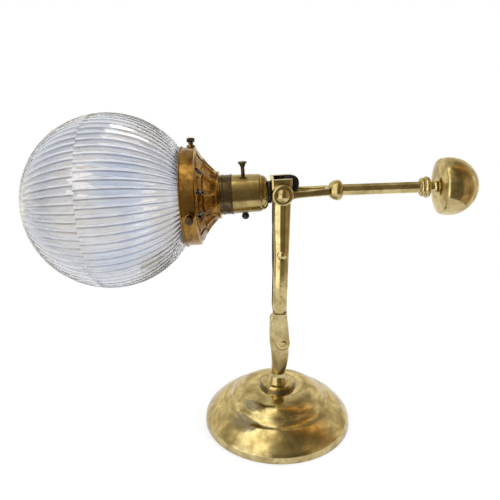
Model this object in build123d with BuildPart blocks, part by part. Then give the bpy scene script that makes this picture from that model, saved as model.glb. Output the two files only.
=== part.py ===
from build123d import *
import math
import os

# Counterbalanced table lamp in brass: a round spun base, a stem of two bars that hinges on a
# knuckle at its foot, and a tilting arm with a glass globe on one side and a ball weight on the
# other.
#
# Millimetres. The origin is the middle of the base, on the surface that the lamp stands on.
# +X points to the ball weight, -Y to the front and +Z up.
#
# Places along the arm are stations: distances from its pivot, negative towards the globe. The
# globe side and the rod side lean a little differently, as they do on the real arm.

os.makedirs("parts", exist_ok=True)

# ------------------------------------------------------------------ driving dimensions
# places
pivot_height = 230.5  # arm pivot above the table
knuckle_height = 90.0  # stem knuckle above the table
knuckle_x = 3.3
head_tilt = 3.6  # degrees that the globe side hangs below the level
rod_tilt = 2.2  # degrees that the rod side rises above the level
rod_drop = 0.5  # the rod's axis passes this far under the pivot

# fits
running_gap = 0.05  # radial, hinge shanks, plungers and the switch bar
thread_gap = 0.05  # radial, screwed joints
seat_gap = 0.3  # between loose or curved pieces that lie against each other

# base shell
base_radius = 70.4
base_height = 37.5  # flat top of the dome
shell_wall = 1.6
rim_lift = 0.4  # the rim hangs this far above the table
rim_height = 2.8  # upright edge of the rim
rim_round_inset = 2.6  # the rim's rounding, measured inwards
rim_round_height = 9.8
skirt_crown = 0.9
skirt_top_radius = 52.0
skirt_top_height = 22.6
groove_sag = 1.1  # depth of the hollow between dome and skirt
dome_edge_radius = 43.0
dome_edge_height = 29.6
dome_flat_radius = 18.5

# base inside
felt_thickness = 1.5
felt_inset = 2.2  # felt edge inside the rim
weight_clearance = 1.5
weight_hub_radius = 14.0
nut_pocket_radius = 15.0
nut_pocket_height = 15.5
cord_channel_width = 14.0
cord_channel_height = 12.5

# cord outlet at the back of the base
outlet_height = 6.6
outlet_bore_radius = 3.4
outlet_wall = 1.0
outlet_shoulder = 0.3
outlet_shoulder_length = 1.0
outlet_length = 10.4
outlet_proud = 1.4

# terminal block inside the base
terminal_width = 11.0
terminal_length = 15.0
terminal_height = 8.2
terminal_place = 24.0  # its near face, behind the middle
terminal_wire_radius = 1.6
terminal_wire_depth = 5.0
terminal_flex_depth = 3.0

# foot
foot_washer_radius = 17.4
foot_washer_thickness = 1.0
flange_radius = 16.0
flange_thickness = 4.0
flange_round = 1.4
cove_radius = 3.6
neck_radius = 6.9
neck_height = 52.0  # narrowest place, above the table
neck_bend = 1.3  # the neck stands this far beside the middle, between flange and tongue
neck_bend_height = 70.0
neck_bend_width = 15.8
neck_bend_half_depth = 8.5
tongue_x = -0.2
tongue_width = 17.2
tongue_half_depth = 11.5
tongue_edge = 2.5
tongue_start_height = 88.0
tongue_top_height = 110.0
tongue_corner = 6.0
tail_radius = 6.5
tail_end_height = 10.0
wire_bore_radius = 3.4  # upright hole through foot and tail
foot_nut_flats = 19.0
foot_nut_thickness = 4.5

# stem bars
washer_thickness = 0.5  # friction washer between a lug and what it hinges on
washer_radius = 5.6
bar_thickness = 5.0
bar_edge = 1.5  # thickness at the long edges, from which the outer side is half round
bar_flare_length = 30.0  # the bar widens below the pivot over this length
bar_waist_drop = 55.0  # and has its slender width from here down
bar_width_top = 15.2
bar_width_flare = 14.6
bar_width_waist = 12.9
bar_width_foot = 12.6
bar_offset_top = -0.6  # middle of the bar, beside the pivots
bar_offset_flare = -0.5
bar_offset_waist = 0.0
bar_offset_foot = -0.4
top_lug_radius = 9.3
foot_lug_radius = 6.4
foot_lug_height = 120.5  # the half-round bar starts here
foot_lug_overlap = 4.0
lug_thickness = 5.4
lug_round = 2.0
tie_radius = 1.6
tie_height = 177.0
tie_x = 0.2
tie_head_radius = 4.2
tie_head_height = 1.3
tie_seat_depth = 1.4  # the head is let into the bar this deep

# hinge pins and screws
pin_radius = 2.6
pin_head_radius = 5.8
pin_head_height = 3.4
knuckle_screw_radius = 2.3
knuckle_head_radius = 3.8
knuckle_head_height = 1.4
knuckle_head_round = 0.6
knuckle_screw_reach = 6.0  # thread inside the tongue
slot_width = 1.1
slot_depth = 1.0
slot_turn = 25.0  # degrees

# arm yoke: an open box round the wire, drawn out into two prongs
yoke_left = -9.8
yoke_right = 9.0
yoke_top = 12.6
yoke_side_bottom = -2.0
yoke_wall_bottom = -7.0
yoke_eye_radius = 8.8
yoke_wall = 3.0
yoke_corner = 3.0
cheek_thickness = 3.2
prong_height = 6.4
prong_middle = -1.6  # the prongs' centre line, from the arm axis
prong_thickness = 3.2
prong_end = 40.5
prong_end_half_depth = 7.6
prong_bridge = 3.4

# rod side
baluster_neck_radius = 5.3
baluster_radius = 8.9
baluster_middle = 48.3
baluster_end = 52.6
rod_flats = 9.2
rod_end = 119.4
spigot_radius = 2.5
spigot_length = 7.0
collar_neck_radius = 6.8
collar_groove_radius = 7.8
collar_small_radius = 8.1
collar_large_radius = 9.3
collar_small_end = 122.4
collar_end = 127.6
ball_neck_radius = 4.9
ball_radius = 25.0
ball_station = 144.0
ball_face_station = 136.0
ball_face_crown = 3.0
ball_neck_round = 2.6
ball_edge_round = 2.4
ball_thread_depth = 9.0

# lampholder
nipple_radius = 5.0
nipple_bore_radius = 3.4
nipple_start = -17.2
ring_station = -12.5  # the insulating ring lies between here and the yoke
ring_radius = 9.9
ring_round = 0.8
cap_radius = 15.0
cap_face_radius = 11.4
cap_end = -17.6
cap_wall = 1.4
cap_hub_radius = 8.0
cap_hub_end = -16.4
body_rear_radius = 16.3
body_front_radius = 16.9
body_shoulder = 2.2
body_front = -42.6
body_wall = 1.0
skirt_radius = 15.6
skirt_wall = 0.9
skirt_tuck = 3.1  # length of skirt inside the body
holder_mouth = -58.0
barrel_bore_radius = 11.25
barrel_wall = 1.1
barrel_bore_end = -46.5
barrel_flange = 1.2
barrel_stop = 0.8  # step at the inner end, against which a bulb cap stops
pin_slot_width = 2.8
pin_slot_length = 8.0
pin_slot_turn = 22.0  # degrees
block_radius = 14.4
block_face = -42.4
block_rim_radius = 12.4  # inside this the face is recessed
plunger_radius = 2.25
plunger_spacing = 12.0
plunger_tip = -46.3
plunger_length = 7.5
plunger_wall = 0.65
plunger_front = 3.0  # solid length behind the tip
plunger_bore_end = -35.4
spring_wire = 0.4
spring_coils = 7
spring_play = 0.15

# switch bar, square to the arm
switch_station = -32.8
switch_radius = 1.65
switch_hole_radius = 2.0
switch_top = 28.0
switch_knob_radius = 3.9
switch_knob_round = 0.8
switch_knob_height = 5.0
switch_knob_face = 3.0
switch_tip_radius = 3.3
switch_tip_face = 2.0
switch_tip_top = -17.4
switch_tip_length = 5.2
switch_tip_bore_depth = 2.2

# shade rings
rings_front = -53.4
rings_split = -48.0
rings_rear = -42.8
shade_ring_radius = 17.1
shade_ring_ridge = 0.6
inner_ring_radius = 18.6
inner_ring_length = 3.0

# gallery
gallery_wall = 0.9
gallery_collar_radius = 20.2
gallery_collar_length = 2.1
gallery_cone_middle = (-61.8, 26.2)  # station, radius
gallery_cone_end = (-70.0, 38.4)
gallery_band_radius = 42.4
gallery_step = -72.2
gallery_rim = -85.0
gallery_bead_radius = 0.95
collar_ring_radius = 0.45
collar_ring_stations = (-54.1, -55.2)
petal_count = 12
petal_turn = 12.0  # degrees from the top to the first ridge between two petals
ridge_radius = 1.0
ridge_sink = 0.35
ridge_start = (-57.2, 21.8)
ridge_end = (-64.6, 30.2)
vent_near = (-65.4, 0.7)  # station and radius of a vent's narrow end
vent_far = (-69.2, 1.9)

# gallery screws
screw_first = 110.0  # degrees round the arm, from the front towards the top
screw_station = -77.0
screw_radius = 1.6
screw_boss_radius = 3.8
screw_boss_height = 2.2
screw_neck_radius = 2.1
screw_neck_height = 2.7
screw_head_radius = 3.5
screw_head_height = 3.4
screw_head_round = 0.8
screw_turn = 120.0  # degrees between neighbours

# globe
globe_radius = 75.6
glass_wall = 2.6
globe_neck_start = -82.1  # station where the ball of glass runs into its neck
globe_neck_radius = 36.0
globe_waist_radius = 37.6
globe_waist_length = 3.9
globe_lip_radius = 40.9
globe_lip_length = 2.4
globe_lip_round = 0.6
globe_seat_gap = 0.5  # between lip and gallery

# wire
flex_radius = 2.8
core_radius = 0.9
core_spacing = 2.6
core_gap = 0.1
core_depth = 4.0  # bare ends inside the contact block
flex_end_station = -17.9
flex_loop = ((-3.5, 0), (1.8, 8.6), (8.2, 12.4), (13.9, 8.0), (10.6, 0.0))  # (station, height)
flex_under_drop = 5.0  # first bend under the pivot
flex_side = -5.2  # the wire runs down the stem on this side of the middle
flex_side_drop = 20.5  # and starts to do so this far under the pivot
flex_stem_drop = 27.5  # here it belongs to the stem
flex_side_rise = 40.0  # it leaves that side this far above the foot's tongue
flex_middle_rise = 24.0  # and is back in the middle here
flex_knuckle_length = 12.0  # bends over the knuckle
flex_foot_bend_radius = 5.0

# ------------------------------------------------------------------ frames of the arm
pivot = Vector(0, 0, pivot_height)
head_along = Vector(math.cos(math.radians(head_tilt)), 0, math.sin(math.radians(head_tilt)))
rod_along = Vector(math.cos(math.radians(rod_tilt)), 0, math.sin(math.radians(rod_tilt)))
head_side = Plane(origin=pivot, x_dir=head_along, z_dir=(0, -1, 0))
rod_side = Plane(origin=pivot - Vector(0, 0, rod_drop), x_dir=rod_along, z_dir=(0, -1, 0))
head_plan = Plane(origin=pivot, x_dir=head_along, z_dir=head_side.y_dir)
head_axis = Axis(head_side.origin, head_along)
rod_axis = Axis(rod_side.origin, rod_along)


def head_point(station, height, depth=0.0):
    """A point of the arm's globe side: along the arm, above its axis and behind it."""
    return head_side.from_local_coords((station, height, -depth))


def across_head(station):
    """Plane square to the arm's globe side, its normal pointing to the weight."""
    return Plane(head_point(station, 0), x_dir=(0, 1, 0), z_dir=head_along)


def turned_at(station):
    """Plane for the profile of a piece turned square to the arm: x along it, y upwards."""
    return Plane(head_point(station, 0), x_dir=head_along, z_dir=(0, -1, 0))


def across_rod(station):
    """Plane square to the arm's rod side, its normal pointing to the weight."""
    return Plane(rod_side.from_local_coords((station, 0, 0)), x_dir=(0, 1, 0), z_dir=rod_along)


def facing(side, depth, x=0.0, height=pivot_height):
    """Upright plane in front of the stem (side -1) or behind it (+1), its normal outwards."""
    return Plane((x, side * depth, height), x_dir=(1, 0, 0), z_dir=(0, side, 0))


def outwards(side, x, height):
    """Plane through a hinge axis: its x runs outwards along the axis, its y is a radius."""
    return Plane((x, 0, height), x_dir=(0, side, 0), z_dir=(-side, 0, 0))


def spoke(angle):
    """Direction out from the arm's axis, at an angle in degrees from the front towards the top."""
    turn = math.radians(angle)
    return Vector(0, -math.cos(turn), 0) + head_side.y_dir * math.sin(turn)


def on_band(angle, radius):
    """Plane square to a gallery screw, its normal pointing outwards."""
    return Plane(head_point(screw_station, 0) + spoke(angle) * radius, x_dir=head_along, z_dir=spoke(angle))


def bend_radii(points):
    """For each corner, the largest radius that leaves a tenth of the shorter run straight."""
    radii = []
    for before, corner, after in zip(points, points[1:], points[2:]):
        run_in, run_out = Vector(corner) - Vector(before), Vector(after) - Vector(corner)
        half_turn = math.radians(run_in.get_angle(run_out) / 2)
        radii.append(0.45 * min(run_in.length, run_out.length) / math.tan(half_turn))
    return radii


# ------------------------------------------------------------------ base
rim_top = (base_radius, rim_height)
rim_round_top = (base_radius - rim_round_inset, rim_round_height)
skirt_top = (skirt_top_radius, skirt_top_height)
dome_edge = (dome_edge_radius, dome_edge_height)
outlet_sleeve_radius = outlet_bore_radius + outlet_wall
outlet_start = base_radius + outlet_proud - outlet_length
outlet_plane = Plane((0, outlet_start, outlet_height), x_dir=(1, 0, 0), z_dir=(0, 1, 0))

# Spun shell: flat top, dome, hollow, skirt and upright rim, open below.
with BuildPart() as base_shell:
    with BuildSketch(Plane.XZ):
        with BuildLine():
            Line((tail_radius + thread_gap, base_height), (dome_flat_radius, base_height))
            TangentArc((dome_flat_radius, base_height), dome_edge, tangent=(1, 0))
            SagittaArc(dome_edge, skirt_top, groove_sag)
            SagittaArc(skirt_top, rim_round_top, -skirt_crown)
            TangentArc(rim_top, rim_round_top, tangent=(0, 1))
            Line(rim_top, (base_radius, rim_lift))
            offset(amount=shell_wall, side=Side.RIGHT)
        make_face()
    revolve(axis=Axis.Z)
    with BuildSketch(outlet_plane):
        Circle(outlet_sleeve_radius + thread_gap)
    extrude(amount=outlet_length, mode=Mode.SUBTRACT)
base_shell.part.label = "base_shell"
export_step(base_shell.part, "parts/base_shell.step")

# Felt under the base.
with BuildPart() as base_felt:
    with BuildSketch():
        Circle(base_radius - felt_inset)
    extrude(amount=felt_thickness)
base_felt.part.label = "base_felt"
export_step(base_felt.part, "parts/base_felt.step")

# Cast-iron weight, clamped under the dome, with a pocket for the nut and a channel for the cord.
weight_radius = base_radius - shell_wall - rim_round_inset - weight_clearance
with BuildPart() as base_weight:
    with BuildSketch(Plane.XZ):
        with BuildLine():
            Polyline(
                (tail_radius + seat_gap, felt_thickness),
                (weight_radius, felt_thickness),
                (weight_radius, rim_round_height - shell_wall - weight_clearance),
                (
                    skirt_top_radius - shell_wall - weight_clearance,
                    skirt_top_height - 2 * shell_wall - weight_clearance,
                ),
                (dome_flat_radius, base_height - shell_wall - 2 * weight_clearance),
                (weight_hub_radius, base_height - shell_wall),
                (tail_radius + seat_gap, base_height - shell_wall),
                close=True,
            )
        make_face()
    revolve(axis=Axis.Z)
    with BuildSketch(Plane.XY.offset(felt_thickness)):
        Circle(nut_pocket_radius)
    extrude(amount=nut_pocket_height - felt_thickness, mode=Mode.SUBTRACT)
    with BuildSketch(Plane.XY.offset(felt_thickness)):
        with Locations((0, nut_pocket_radius / 2)):
            Rectangle(cord_channel_width, weight_radius, align=(Align.CENTER, Align.MIN))
    extrude(amount=cord_channel_height - felt_thickness, mode=Mode.SUBTRACT)
base_weight.part.label = "base_weight"
export_step(base_weight.part, "parts/base_weight.step")

# Sleeve that guards the mains lead where it passes the shell.
with BuildPart() as cord_bush:
    with BuildSketch(outlet_plane):
        Circle(outlet_sleeve_radius + outlet_shoulder)
    extrude(amount=outlet_shoulder_length)
    with BuildSketch(outlet_plane):
        Circle(outlet_sleeve_radius)
    extrude(amount=outlet_length)
    with BuildSketch(outlet_plane):
        Circle(outlet_bore_radius)
    extrude(amount=outlet_length, mode=Mode.SUBTRACT)
cord_bush.part.label = "cord_bush"
export_step(cord_bush.part, "parts/cord_bush.step")

# Terminal block in the channel: the lamp's own wire enters in front, the mains lead behind.
flex_floor = felt_thickness + terminal_height / 2
terminal_front = Plane((0, terminal_place, flex_floor), x_dir=(1, 0, 0), z_dir=(0, -1, 0))
with BuildPart() as terminal_block:
    with BuildSketch(Plane.XY.offset(felt_thickness)):
        with Locations((0, terminal_place)):
            Rectangle(terminal_width, terminal_length, align=(Align.CENTER, Align.MIN))
    extrude(amount=terminal_height)
    with BuildSketch(terminal_front):
        Circle(flex_radius + thread_gap)
    extrude(amount=-terminal_flex_depth, mode=Mode.SUBTRACT)
    with BuildSketch(terminal_front.offset(-terminal_length)):
        with GridLocations(terminal_width / 2, 0, 2, 1):
            Circle(terminal_wire_radius)
    extrude(amount=terminal_wire_depth, mode=Mode.SUBTRACT)
terminal_block.part.label = "terminal_block"
export_step(terminal_block.part, "parts/terminal_block.step")

# ------------------------------------------------------------------ foot
flange_bottom = base_height + foot_washer_thickness
flange_top = flange_bottom + flange_thickness

# Steel washer between the dome and the foot.
with BuildPart() as foot_washer:
    with BuildSketch(Plane.XY.offset(base_height)):
        Circle(foot_washer_radius)
        Circle(tail_radius + thread_gap, mode=Mode.SUBTRACT)
    extrude(amount=foot_washer_thickness)
foot_washer.part.label = "foot_washer"
export_step(foot_washer.part, "parts/foot_washer.step")

# Turned foot: threaded tail, flange, neck, and a flat-sided tongue between the stem bars.
with BuildPart() as foot:
    with BuildSketch(Plane.XZ):
        with BuildLine():
            Polyline(
                (0, neck_height),
                (0, tail_end_height),
                (tail_radius, tail_end_height),
                (tail_radius, flange_bottom),
                (flange_radius, flange_bottom),
                (flange_radius, flange_top - flange_round),
                (flange_radius - flange_round, flange_top),
                (neck_radius + cove_radius, flange_top),
            )
            TangentArc(
                (neck_radius, neck_height), (neck_radius + cove_radius, flange_top), tangent=(0, -1)
            )
            Line((neck_radius, neck_height), (0, neck_height))
        make_face()
    revolve(axis=Axis.Z)
    with BuildSketch(Plane.XY.offset(neck_height)):
        Circle(neck_radius)
    with BuildSketch(Plane.XY.offset(neck_bend_height)):
        with Locations((neck_bend, 0)):
            RectangleRounded(neck_bend_width, 2 * neck_bend_half_depth, tongue_edge)
    with BuildSketch(Plane.XY.offset(tongue_start_height)):
        with Locations((tongue_x, 0)):
            RectangleRounded(tongue_width, 2 * tongue_half_depth, tongue_edge)
    loft()
    with BuildSketch(Plane.XY.offset(tongue_start_height)):
        with Locations((tongue_x, 0)):
            RectangleRounded(tongue_width, 2 * tongue_half_depth, tongue_edge)
    extrude(amount=tongue_top_height - tongue_start_height)
    with BuildSketch(Plane.XY.offset(tail_end_height)):
        Circle(wire_bore_radius)
    extrude(amount=tongue_top_height - tail_end_height, mode=Mode.SUBTRACT)
    with BuildSketch(Plane.XZ.offset(-tongue_half_depth)):
        with Locations(
            (tongue_x - tongue_width / 2, tongue_top_height), (tongue_x + tongue_width / 2, tongue_top_height)
        ):
            Rectangle(2 * tongue_corner, 2 * tongue_corner)
        with Locations(
            (tongue_x - tongue_width / 2 + tongue_corner, tongue_top_height - tongue_corner),
            (tongue_x + tongue_width / 2 - tongue_corner, tongue_top_height - tongue_corner),
        ):
            Circle(tongue_corner, mode=Mode.SUBTRACT)
    extrude(amount=2 * tongue_half_depth, mode=Mode.SUBTRACT)
    for side in (-1, 1):
        with BuildSketch(facing(side, tongue_half_depth, knuckle_x, knuckle_height)):
            Circle(knuckle_screw_radius + thread_gap)
        extrude(amount=-knuckle_screw_reach, mode=Mode.SUBTRACT)
foot.part.label = "foot"
export_step(foot.part, "parts/foot.step")

# Nut that clamps foot, washer, shell and weight together.
with BuildPart() as foot_nut:
    with BuildSketch(Plane.XY.offset(nut_pocket_height - foot_nut_thickness)):
        RegularPolygon(foot_nut_flats / 2, 6, major_radius=False)
        Circle(tail_radius + thread_gap, mode=Mode.SUBTRACT)
    extrude(amount=foot_nut_thickness)
foot_nut.part.label = "foot_nut"
export_step(foot_nut.part, "parts/foot_nut.step")

# ------------------------------------------------------------------ knuckle
bar_inner = tongue_half_depth + washer_thickness

with BuildPart() as knuckle_washers:
    for side in (-1, 1):
        with BuildSketch(facing(side, tongue_half_depth, knuckle_x, knuckle_height)):
            Circle(washer_radius)
            Circle(knuckle_screw_radius + running_gap, mode=Mode.SUBTRACT)
        extrude(amount=washer_thickness)
knuckle_washers.part.label = "knuckle_washers"
export_step(knuckle_washers.part, "parts/knuckle_washers.step")

# Slotted screws on which the stem's lower lugs turn.
with BuildPart() as knuckle_screws:
    for side in (-1, 1):
        with BuildSketch(facing(side, tongue_half_depth - knuckle_screw_reach, knuckle_x, knuckle_height)):
            Circle(knuckle_screw_radius)
        extrude(amount=knuckle_screw_reach + washer_thickness + lug_thickness)
        with BuildSketch(outwards(side, knuckle_x, knuckle_height)):
            with BuildLine():
                head_seat = bar_inner + lug_thickness
                head_top = head_seat + knuckle_head_height
                Polyline(
                    (head_top, 0),
                    (head_seat, 0),
                    (head_seat, knuckle_head_radius),
                    (head_top - knuckle_head_round, knuckle_head_radius),
                )
                TangentArc(
                    (head_top - knuckle_head_round, knuckle_head_radius),
                    (head_top, knuckle_head_radius - knuckle_head_round),
                    tangent=(1, 0),
                )
                Line((head_top, knuckle_head_radius - knuckle_head_round), (head_top, 0))
            make_face()
        revolve(axis=Axis((knuckle_x, 0, knuckle_height), (0, 1, 0)))
        with BuildSketch(facing(side, head_top, knuckle_x, knuckle_height)):
            Rectangle(3 * knuckle_head_radius, slot_width, rotation=slot_turn)
        extrude(amount=-slot_depth, mode=Mode.SUBTRACT)
knuckle_screws.part.label = "knuckle_screws"
export_step(knuckle_screws.part, "parts/knuckle_screws.step")

# ------------------------------------------------------------------ stem
with BuildPart() as stem_front_bar:
    with BuildSketch(facing(-1, bar_inner)):
        Circle(top_lug_radius)
    extrude(amount=lug_thickness)
    with BuildSketch(facing(-1, bar_inner, 0, knuckle_height)):
        with Locations((knuckle_x, 0)):
            Circle(foot_lug_radius)
        with Locations((bar_offset_foot, foot_lug_height - knuckle_height)):
            Rectangle(bar_width_foot, foot_lug_overlap)
        make_hull()
    extrude(amount=lug_thickness)
    fillet(edges().group_by(Axis.Y)[0], lug_round)
    for height, width, middle in (
        (foot_lug_height, bar_width_foot, bar_offset_foot),
        (pivot_height - bar_waist_drop, bar_width_waist, bar_offset_waist),
        (pivot_height - bar_flare_length, bar_width_flare, bar_offset_flare),
        (pivot_height, bar_width_top, bar_offset_top),
    ):
        with BuildSketch(Plane.XY.offset(height)):
            with BuildLine():
                Polyline(
                    (middle - width / 2, -bar_inner - bar_edge),
                    (middle - width / 2, -bar_inner),
                    (middle + width / 2, -bar_inner),
                    (middle + width / 2, -bar_inner - bar_edge),
                )
                ThreePointArc(
                    (middle + width / 2, -bar_inner - bar_edge),
                    (middle, -bar_inner - bar_thickness),
                    (middle - width / 2, -bar_inner - bar_edge),
                )
            make_face()
    loft(ruled=True)
    for x, height, radius in (
        (0, pivot_height, pin_radius + running_gap),
        (knuckle_x, knuckle_height, knuckle_screw_radius + running_gap),
        (tie_x, tie_height, tie_radius + thread_gap),
    ):
        with BuildSketch(facing(-1, bar_inner, x, height)):
            Circle(radius)
        extrude(amount=2 * bar_thickness, mode=Mode.SUBTRACT)
    with BuildSketch(facing(-1, bar_inner + bar_thickness - tie_seat_depth, tie_x, tie_height)):
        Circle(tie_head_radius + thread_gap)
    extrude(amount=bar_thickness, mode=Mode.SUBTRACT)
stem_front_bar.part.label = "stem_front_bar"
export_step(stem_front_bar.part, "parts/stem_front_bar.step")

with BuildPart() as stem_back_bar:
    mirror(stem_front_bar.part, about=Plane.XZ)
stem_back_bar.part.label = "stem_back_bar"
export_step(stem_back_bar.part, "parts/stem_back_bar.step")

# Riveted tie that keeps the two bars apart.
with BuildPart() as stem_tie:
    with BuildSketch(facing(-1, 0, tie_x, tie_height)):
        Circle(tie_radius)
    extrude(amount=bar_inner + bar_thickness - tie_seat_depth, both=True)
    for side in (-1, 1):
        with BuildSketch(outwards(side, tie_x, tie_height)):
            with BuildLine():
                seat = bar_inner + bar_thickness - tie_seat_depth
                rim = seat + tie_seat_depth / 2
                top = seat + tie_seat_depth + tie_head_height
                Polyline((top, 0), (seat, 0), (seat, tie_head_radius), (rim, tie_head_radius))
                TangentArc((top, 0), (rim, tie_head_radius), tangent=(0, 1))
            make_face()
        revolve(axis=Axis((tie_x, 0, tie_height), (0, 1, 0)))
stem_tie.part.label = "stem_tie"
export_step(stem_tie.part, "parts/stem_tie.step")

# ------------------------------------------------------------------ arm pivot
with BuildPart() as pivot_washers:
    for side in (-1, 1):
        with BuildSketch(facing(side, tongue_half_depth)):
            Circle(washer_radius)
            Circle(pin_radius + thread_gap, mode=Mode.SUBTRACT)
        extrude(amount=washer_thickness)
pivot_washers.part.label = "pivot_washers"
export_step(pivot_washers.part, "parts/pivot_washers.step")

# Dome-headed pins, fixed in the yoke's cheeks; the stem's top lugs turn on them.
pin_seat = bar_inner + lug_thickness
cheek_inner = tongue_half_depth - cheek_thickness
with BuildPart() as pivot_pins:
    for side in (-1, 1):
        with BuildSketch(outwards(side, 0, pivot_height)):
            with BuildLine():
                Polyline(
                    (pin_seat + pin_head_height, 0),
                    (cheek_inner, 0),
                    (cheek_inner, pin_radius),
                    (pin_seat, pin_radius),
                    (pin_seat, pin_head_radius),
                )
                TangentArc((pin_seat + pin_head_height, 0), (pin_seat, pin_head_radius), tangent=(0, 1))
            make_face()
        revolve(axis=Axis((0, 0, pivot_height), (0, 1, 0)))
pivot_pins.part.label = "pivot_pins"
export_step(pivot_pins.part, "parts/pivot_pins.step")

# Yoke: left wall and two cheeks round the wire, open above, then prongs to a bridge.
with BuildPart() as arm_yoke:
    with BuildSketch(head_side):
        with Locations((yoke_left, yoke_side_bottom)):
            Rectangle(yoke_right - yoke_left, yoke_top - yoke_side_bottom, align=(Align.MIN, Align.MIN))
        with Locations((yoke_left, yoke_wall_bottom)):
            Rectangle(-yoke_left, yoke_eye_radius, align=(Align.MIN, Align.MIN))
        Circle(yoke_eye_radius)
    extrude(amount=tongue_half_depth, both=True)
    fillet(edges().filter_by(head_axis, reverse=True).filter_by(Axis(pivot, head_side.y_dir)), yoke_corner)
    with BuildSketch(head_plan.offset(prong_middle)):
        with BuildLine():
            Polyline(
                (0, -tongue_half_depth),
                (yoke_right, -tongue_half_depth),
                (prong_end, -prong_end_half_depth),
                (prong_end, prong_end_half_depth),
                (yoke_right, tongue_half_depth),
                (0, tongue_half_depth),
                close=True,
            )
        make_face()
    extrude(amount=prong_height / 2, both=True)
    with BuildSketch(head_plan.offset(-yoke_eye_radius)):
        with BuildLine():
            Polyline(
                (yoke_left + yoke_wall, -cheek_inner),
                (yoke_right, -cheek_inner),
                (prong_end - prong_bridge, prong_thickness - prong_end_half_depth),
                (prong_end - prong_bridge, prong_end_half_depth - prong_thickness),
                (yoke_right, cheek_inner),
                (yoke_left + yoke_wall, cheek_inner),
                close=True,
            )
        make_face()
    extrude(amount=yoke_top + 2 * yoke_eye_radius, mode=Mode.SUBTRACT)
    with BuildSketch(across_head(yoke_left)):
        Circle(nipple_radius + thread_gap)
    extrude(amount=yoke_wall, mode=Mode.SUBTRACT)
    with BuildSketch(facing(-1, 0)):
        Circle(pin_radius + thread_gap)
    extrude(amount=tongue_half_depth, both=True, mode=Mode.SUBTRACT)
    with BuildSketch(across_rod(prong_end - 2 * prong_bridge)):
        Circle(spigot_radius + thread_gap)
    extrude(amount=3 * prong_bridge, mode=Mode.SUBTRACT)
arm_yoke.part.label = "arm_yoke"
export_step(arm_yoke.part, "parts/arm_yoke.step")

# ------------------------------------------------------------------ rod side
baluster_start = prong_end + seat_gap
with BuildPart() as baluster:
    with BuildSketch(rod_side):
        with BuildLine():
            Polyline((baluster_end, baluster_neck_radius), (baluster_end, 0), (baluster_start, 0))
            Line((baluster_start, 0), (baluster_start, baluster_neck_radius))
            TangentArc(
                (baluster_middle, baluster_radius),
                (baluster_start, baluster_neck_radius),
                tangent=(-1, 0),
            )
            TangentArc(
                (baluster_middle, baluster_radius),
                (baluster_end, baluster_neck_radius),
                tangent=(1, 0),
            )
        make_face()
    revolve(axis=rod_axis)
    with BuildSketch(across_rod(prong_end - prong_bridge)):
        Circle(spigot_radius)
    extrude(amount=prong_bridge + 2 * seat_gap)
    with BuildSketch(across_rod(baluster_end)):
        Circle(spigot_radius + thread_gap)
    extrude(amount=-spigot_length, mode=Mode.SUBTRACT)
baluster.part.label = "baluster"
export_step(baluster.part, "parts/baluster.step")

# Eight-sided rod with a spigot at each end.
with BuildPart() as arm_rod:
    with BuildSketch(across_rod(baluster_end)):
        RegularPolygon(rod_flats / 2, 8, major_radius=False)
    extrude(amount=rod_end - baluster_end)
    with BuildSketch(across_rod(baluster_end)):
        Circle(spigot_radius)
    extrude(amount=-(spigot_length - seat_gap))
    with BuildSketch(across_rod(rod_end)):
        Circle(spigot_radius)
    extrude(amount=collar_end - rod_end + ball_thread_depth - seat_gap)
arm_rod.part.label = "arm_rod"
export_step(arm_rod.part, "parts/arm_rod.step")

# Collar of a small and a large bead.
with BuildPart() as rod_collar:
    with BuildSketch(rod_side):
        with BuildLine():
            small_middle = (rod_end + collar_small_end) / 2
            Polyline(
                (collar_end, collar_neck_radius), (collar_end, 0), (rod_end, 0), (rod_end, collar_neck_radius)
            )
            ThreePointArc(
                (rod_end, collar_neck_radius),
                (small_middle, collar_small_radius),
                (collar_small_end, collar_groove_radius),
            )
            ThreePointArc(
                (collar_small_end, collar_groove_radius),
                ((collar_small_end + collar_end) / 2, collar_large_radius),
                (collar_end, collar_neck_radius),
            )
        make_face()
    revolve(axis=rod_axis)
    with BuildSketch(across_rod(rod_end)):
        Circle(spigot_radius + thread_gap)
    extrude(amount=collar_end - rod_end, mode=Mode.SUBTRACT)
rod_collar.part.label = "rod_collar"
export_step(rod_collar.part, "parts/rod_collar.step")

# Ball weight: a neck, a slightly crowned face and the ball behind it.
ball_face_radius = math.sqrt(ball_radius**2 - (ball_station - ball_face_station) ** 2)
with BuildPart() as ball_weight:
    with BuildSketch(rod_side):
        with BuildLine():
            Polyline(
                (ball_station + ball_radius, 0),
                (collar_end, 0),
                (collar_end, ball_neck_radius),
                (ball_face_station - ball_face_crown, ball_neck_radius),
            )
            SagittaArc(
                (ball_face_station - ball_face_crown, ball_neck_radius),
                (ball_face_station, ball_face_radius),
                -ball_face_crown / 3,
            )
            ThreePointArc(
                (ball_face_station, ball_face_radius),
                (ball_station, ball_radius),
                (ball_station + ball_radius, 0),
            )
        make_face()
        fillet(vertices().sort_by_distance((ball_face_station, ball_face_radius, 0))[0], ball_edge_round)
        fillet(
            vertices().sort_by_distance((ball_face_station - ball_face_crown, ball_neck_radius, 0))[0],
            ball_neck_round,
        )
    revolve(axis=rod_axis)
    with BuildSketch(across_rod(collar_end)):
        Circle(spigot_radius + thread_gap)
    extrude(amount=ball_thread_depth, mode=Mode.SUBTRACT)
ball_weight.part.label = "ball_weight"
export_step(ball_weight.part, "parts/ball_weight.step")

# ------------------------------------------------------------------ lampholder
# Threaded nipple that joins lampholder and yoke; the wire runs through it.
with BuildPart() as entry_nipple:
    with BuildSketch(across_head(nipple_start)):
        Circle(nipple_radius)
        Circle(nipple_bore_radius, mode=Mode.SUBTRACT)
    extrude(amount=yoke_left + yoke_wall - nipple_start)
entry_nipple.part.label = "entry_nipple"
export_step(entry_nipple.part, "parts/entry_nipple.step")

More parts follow.
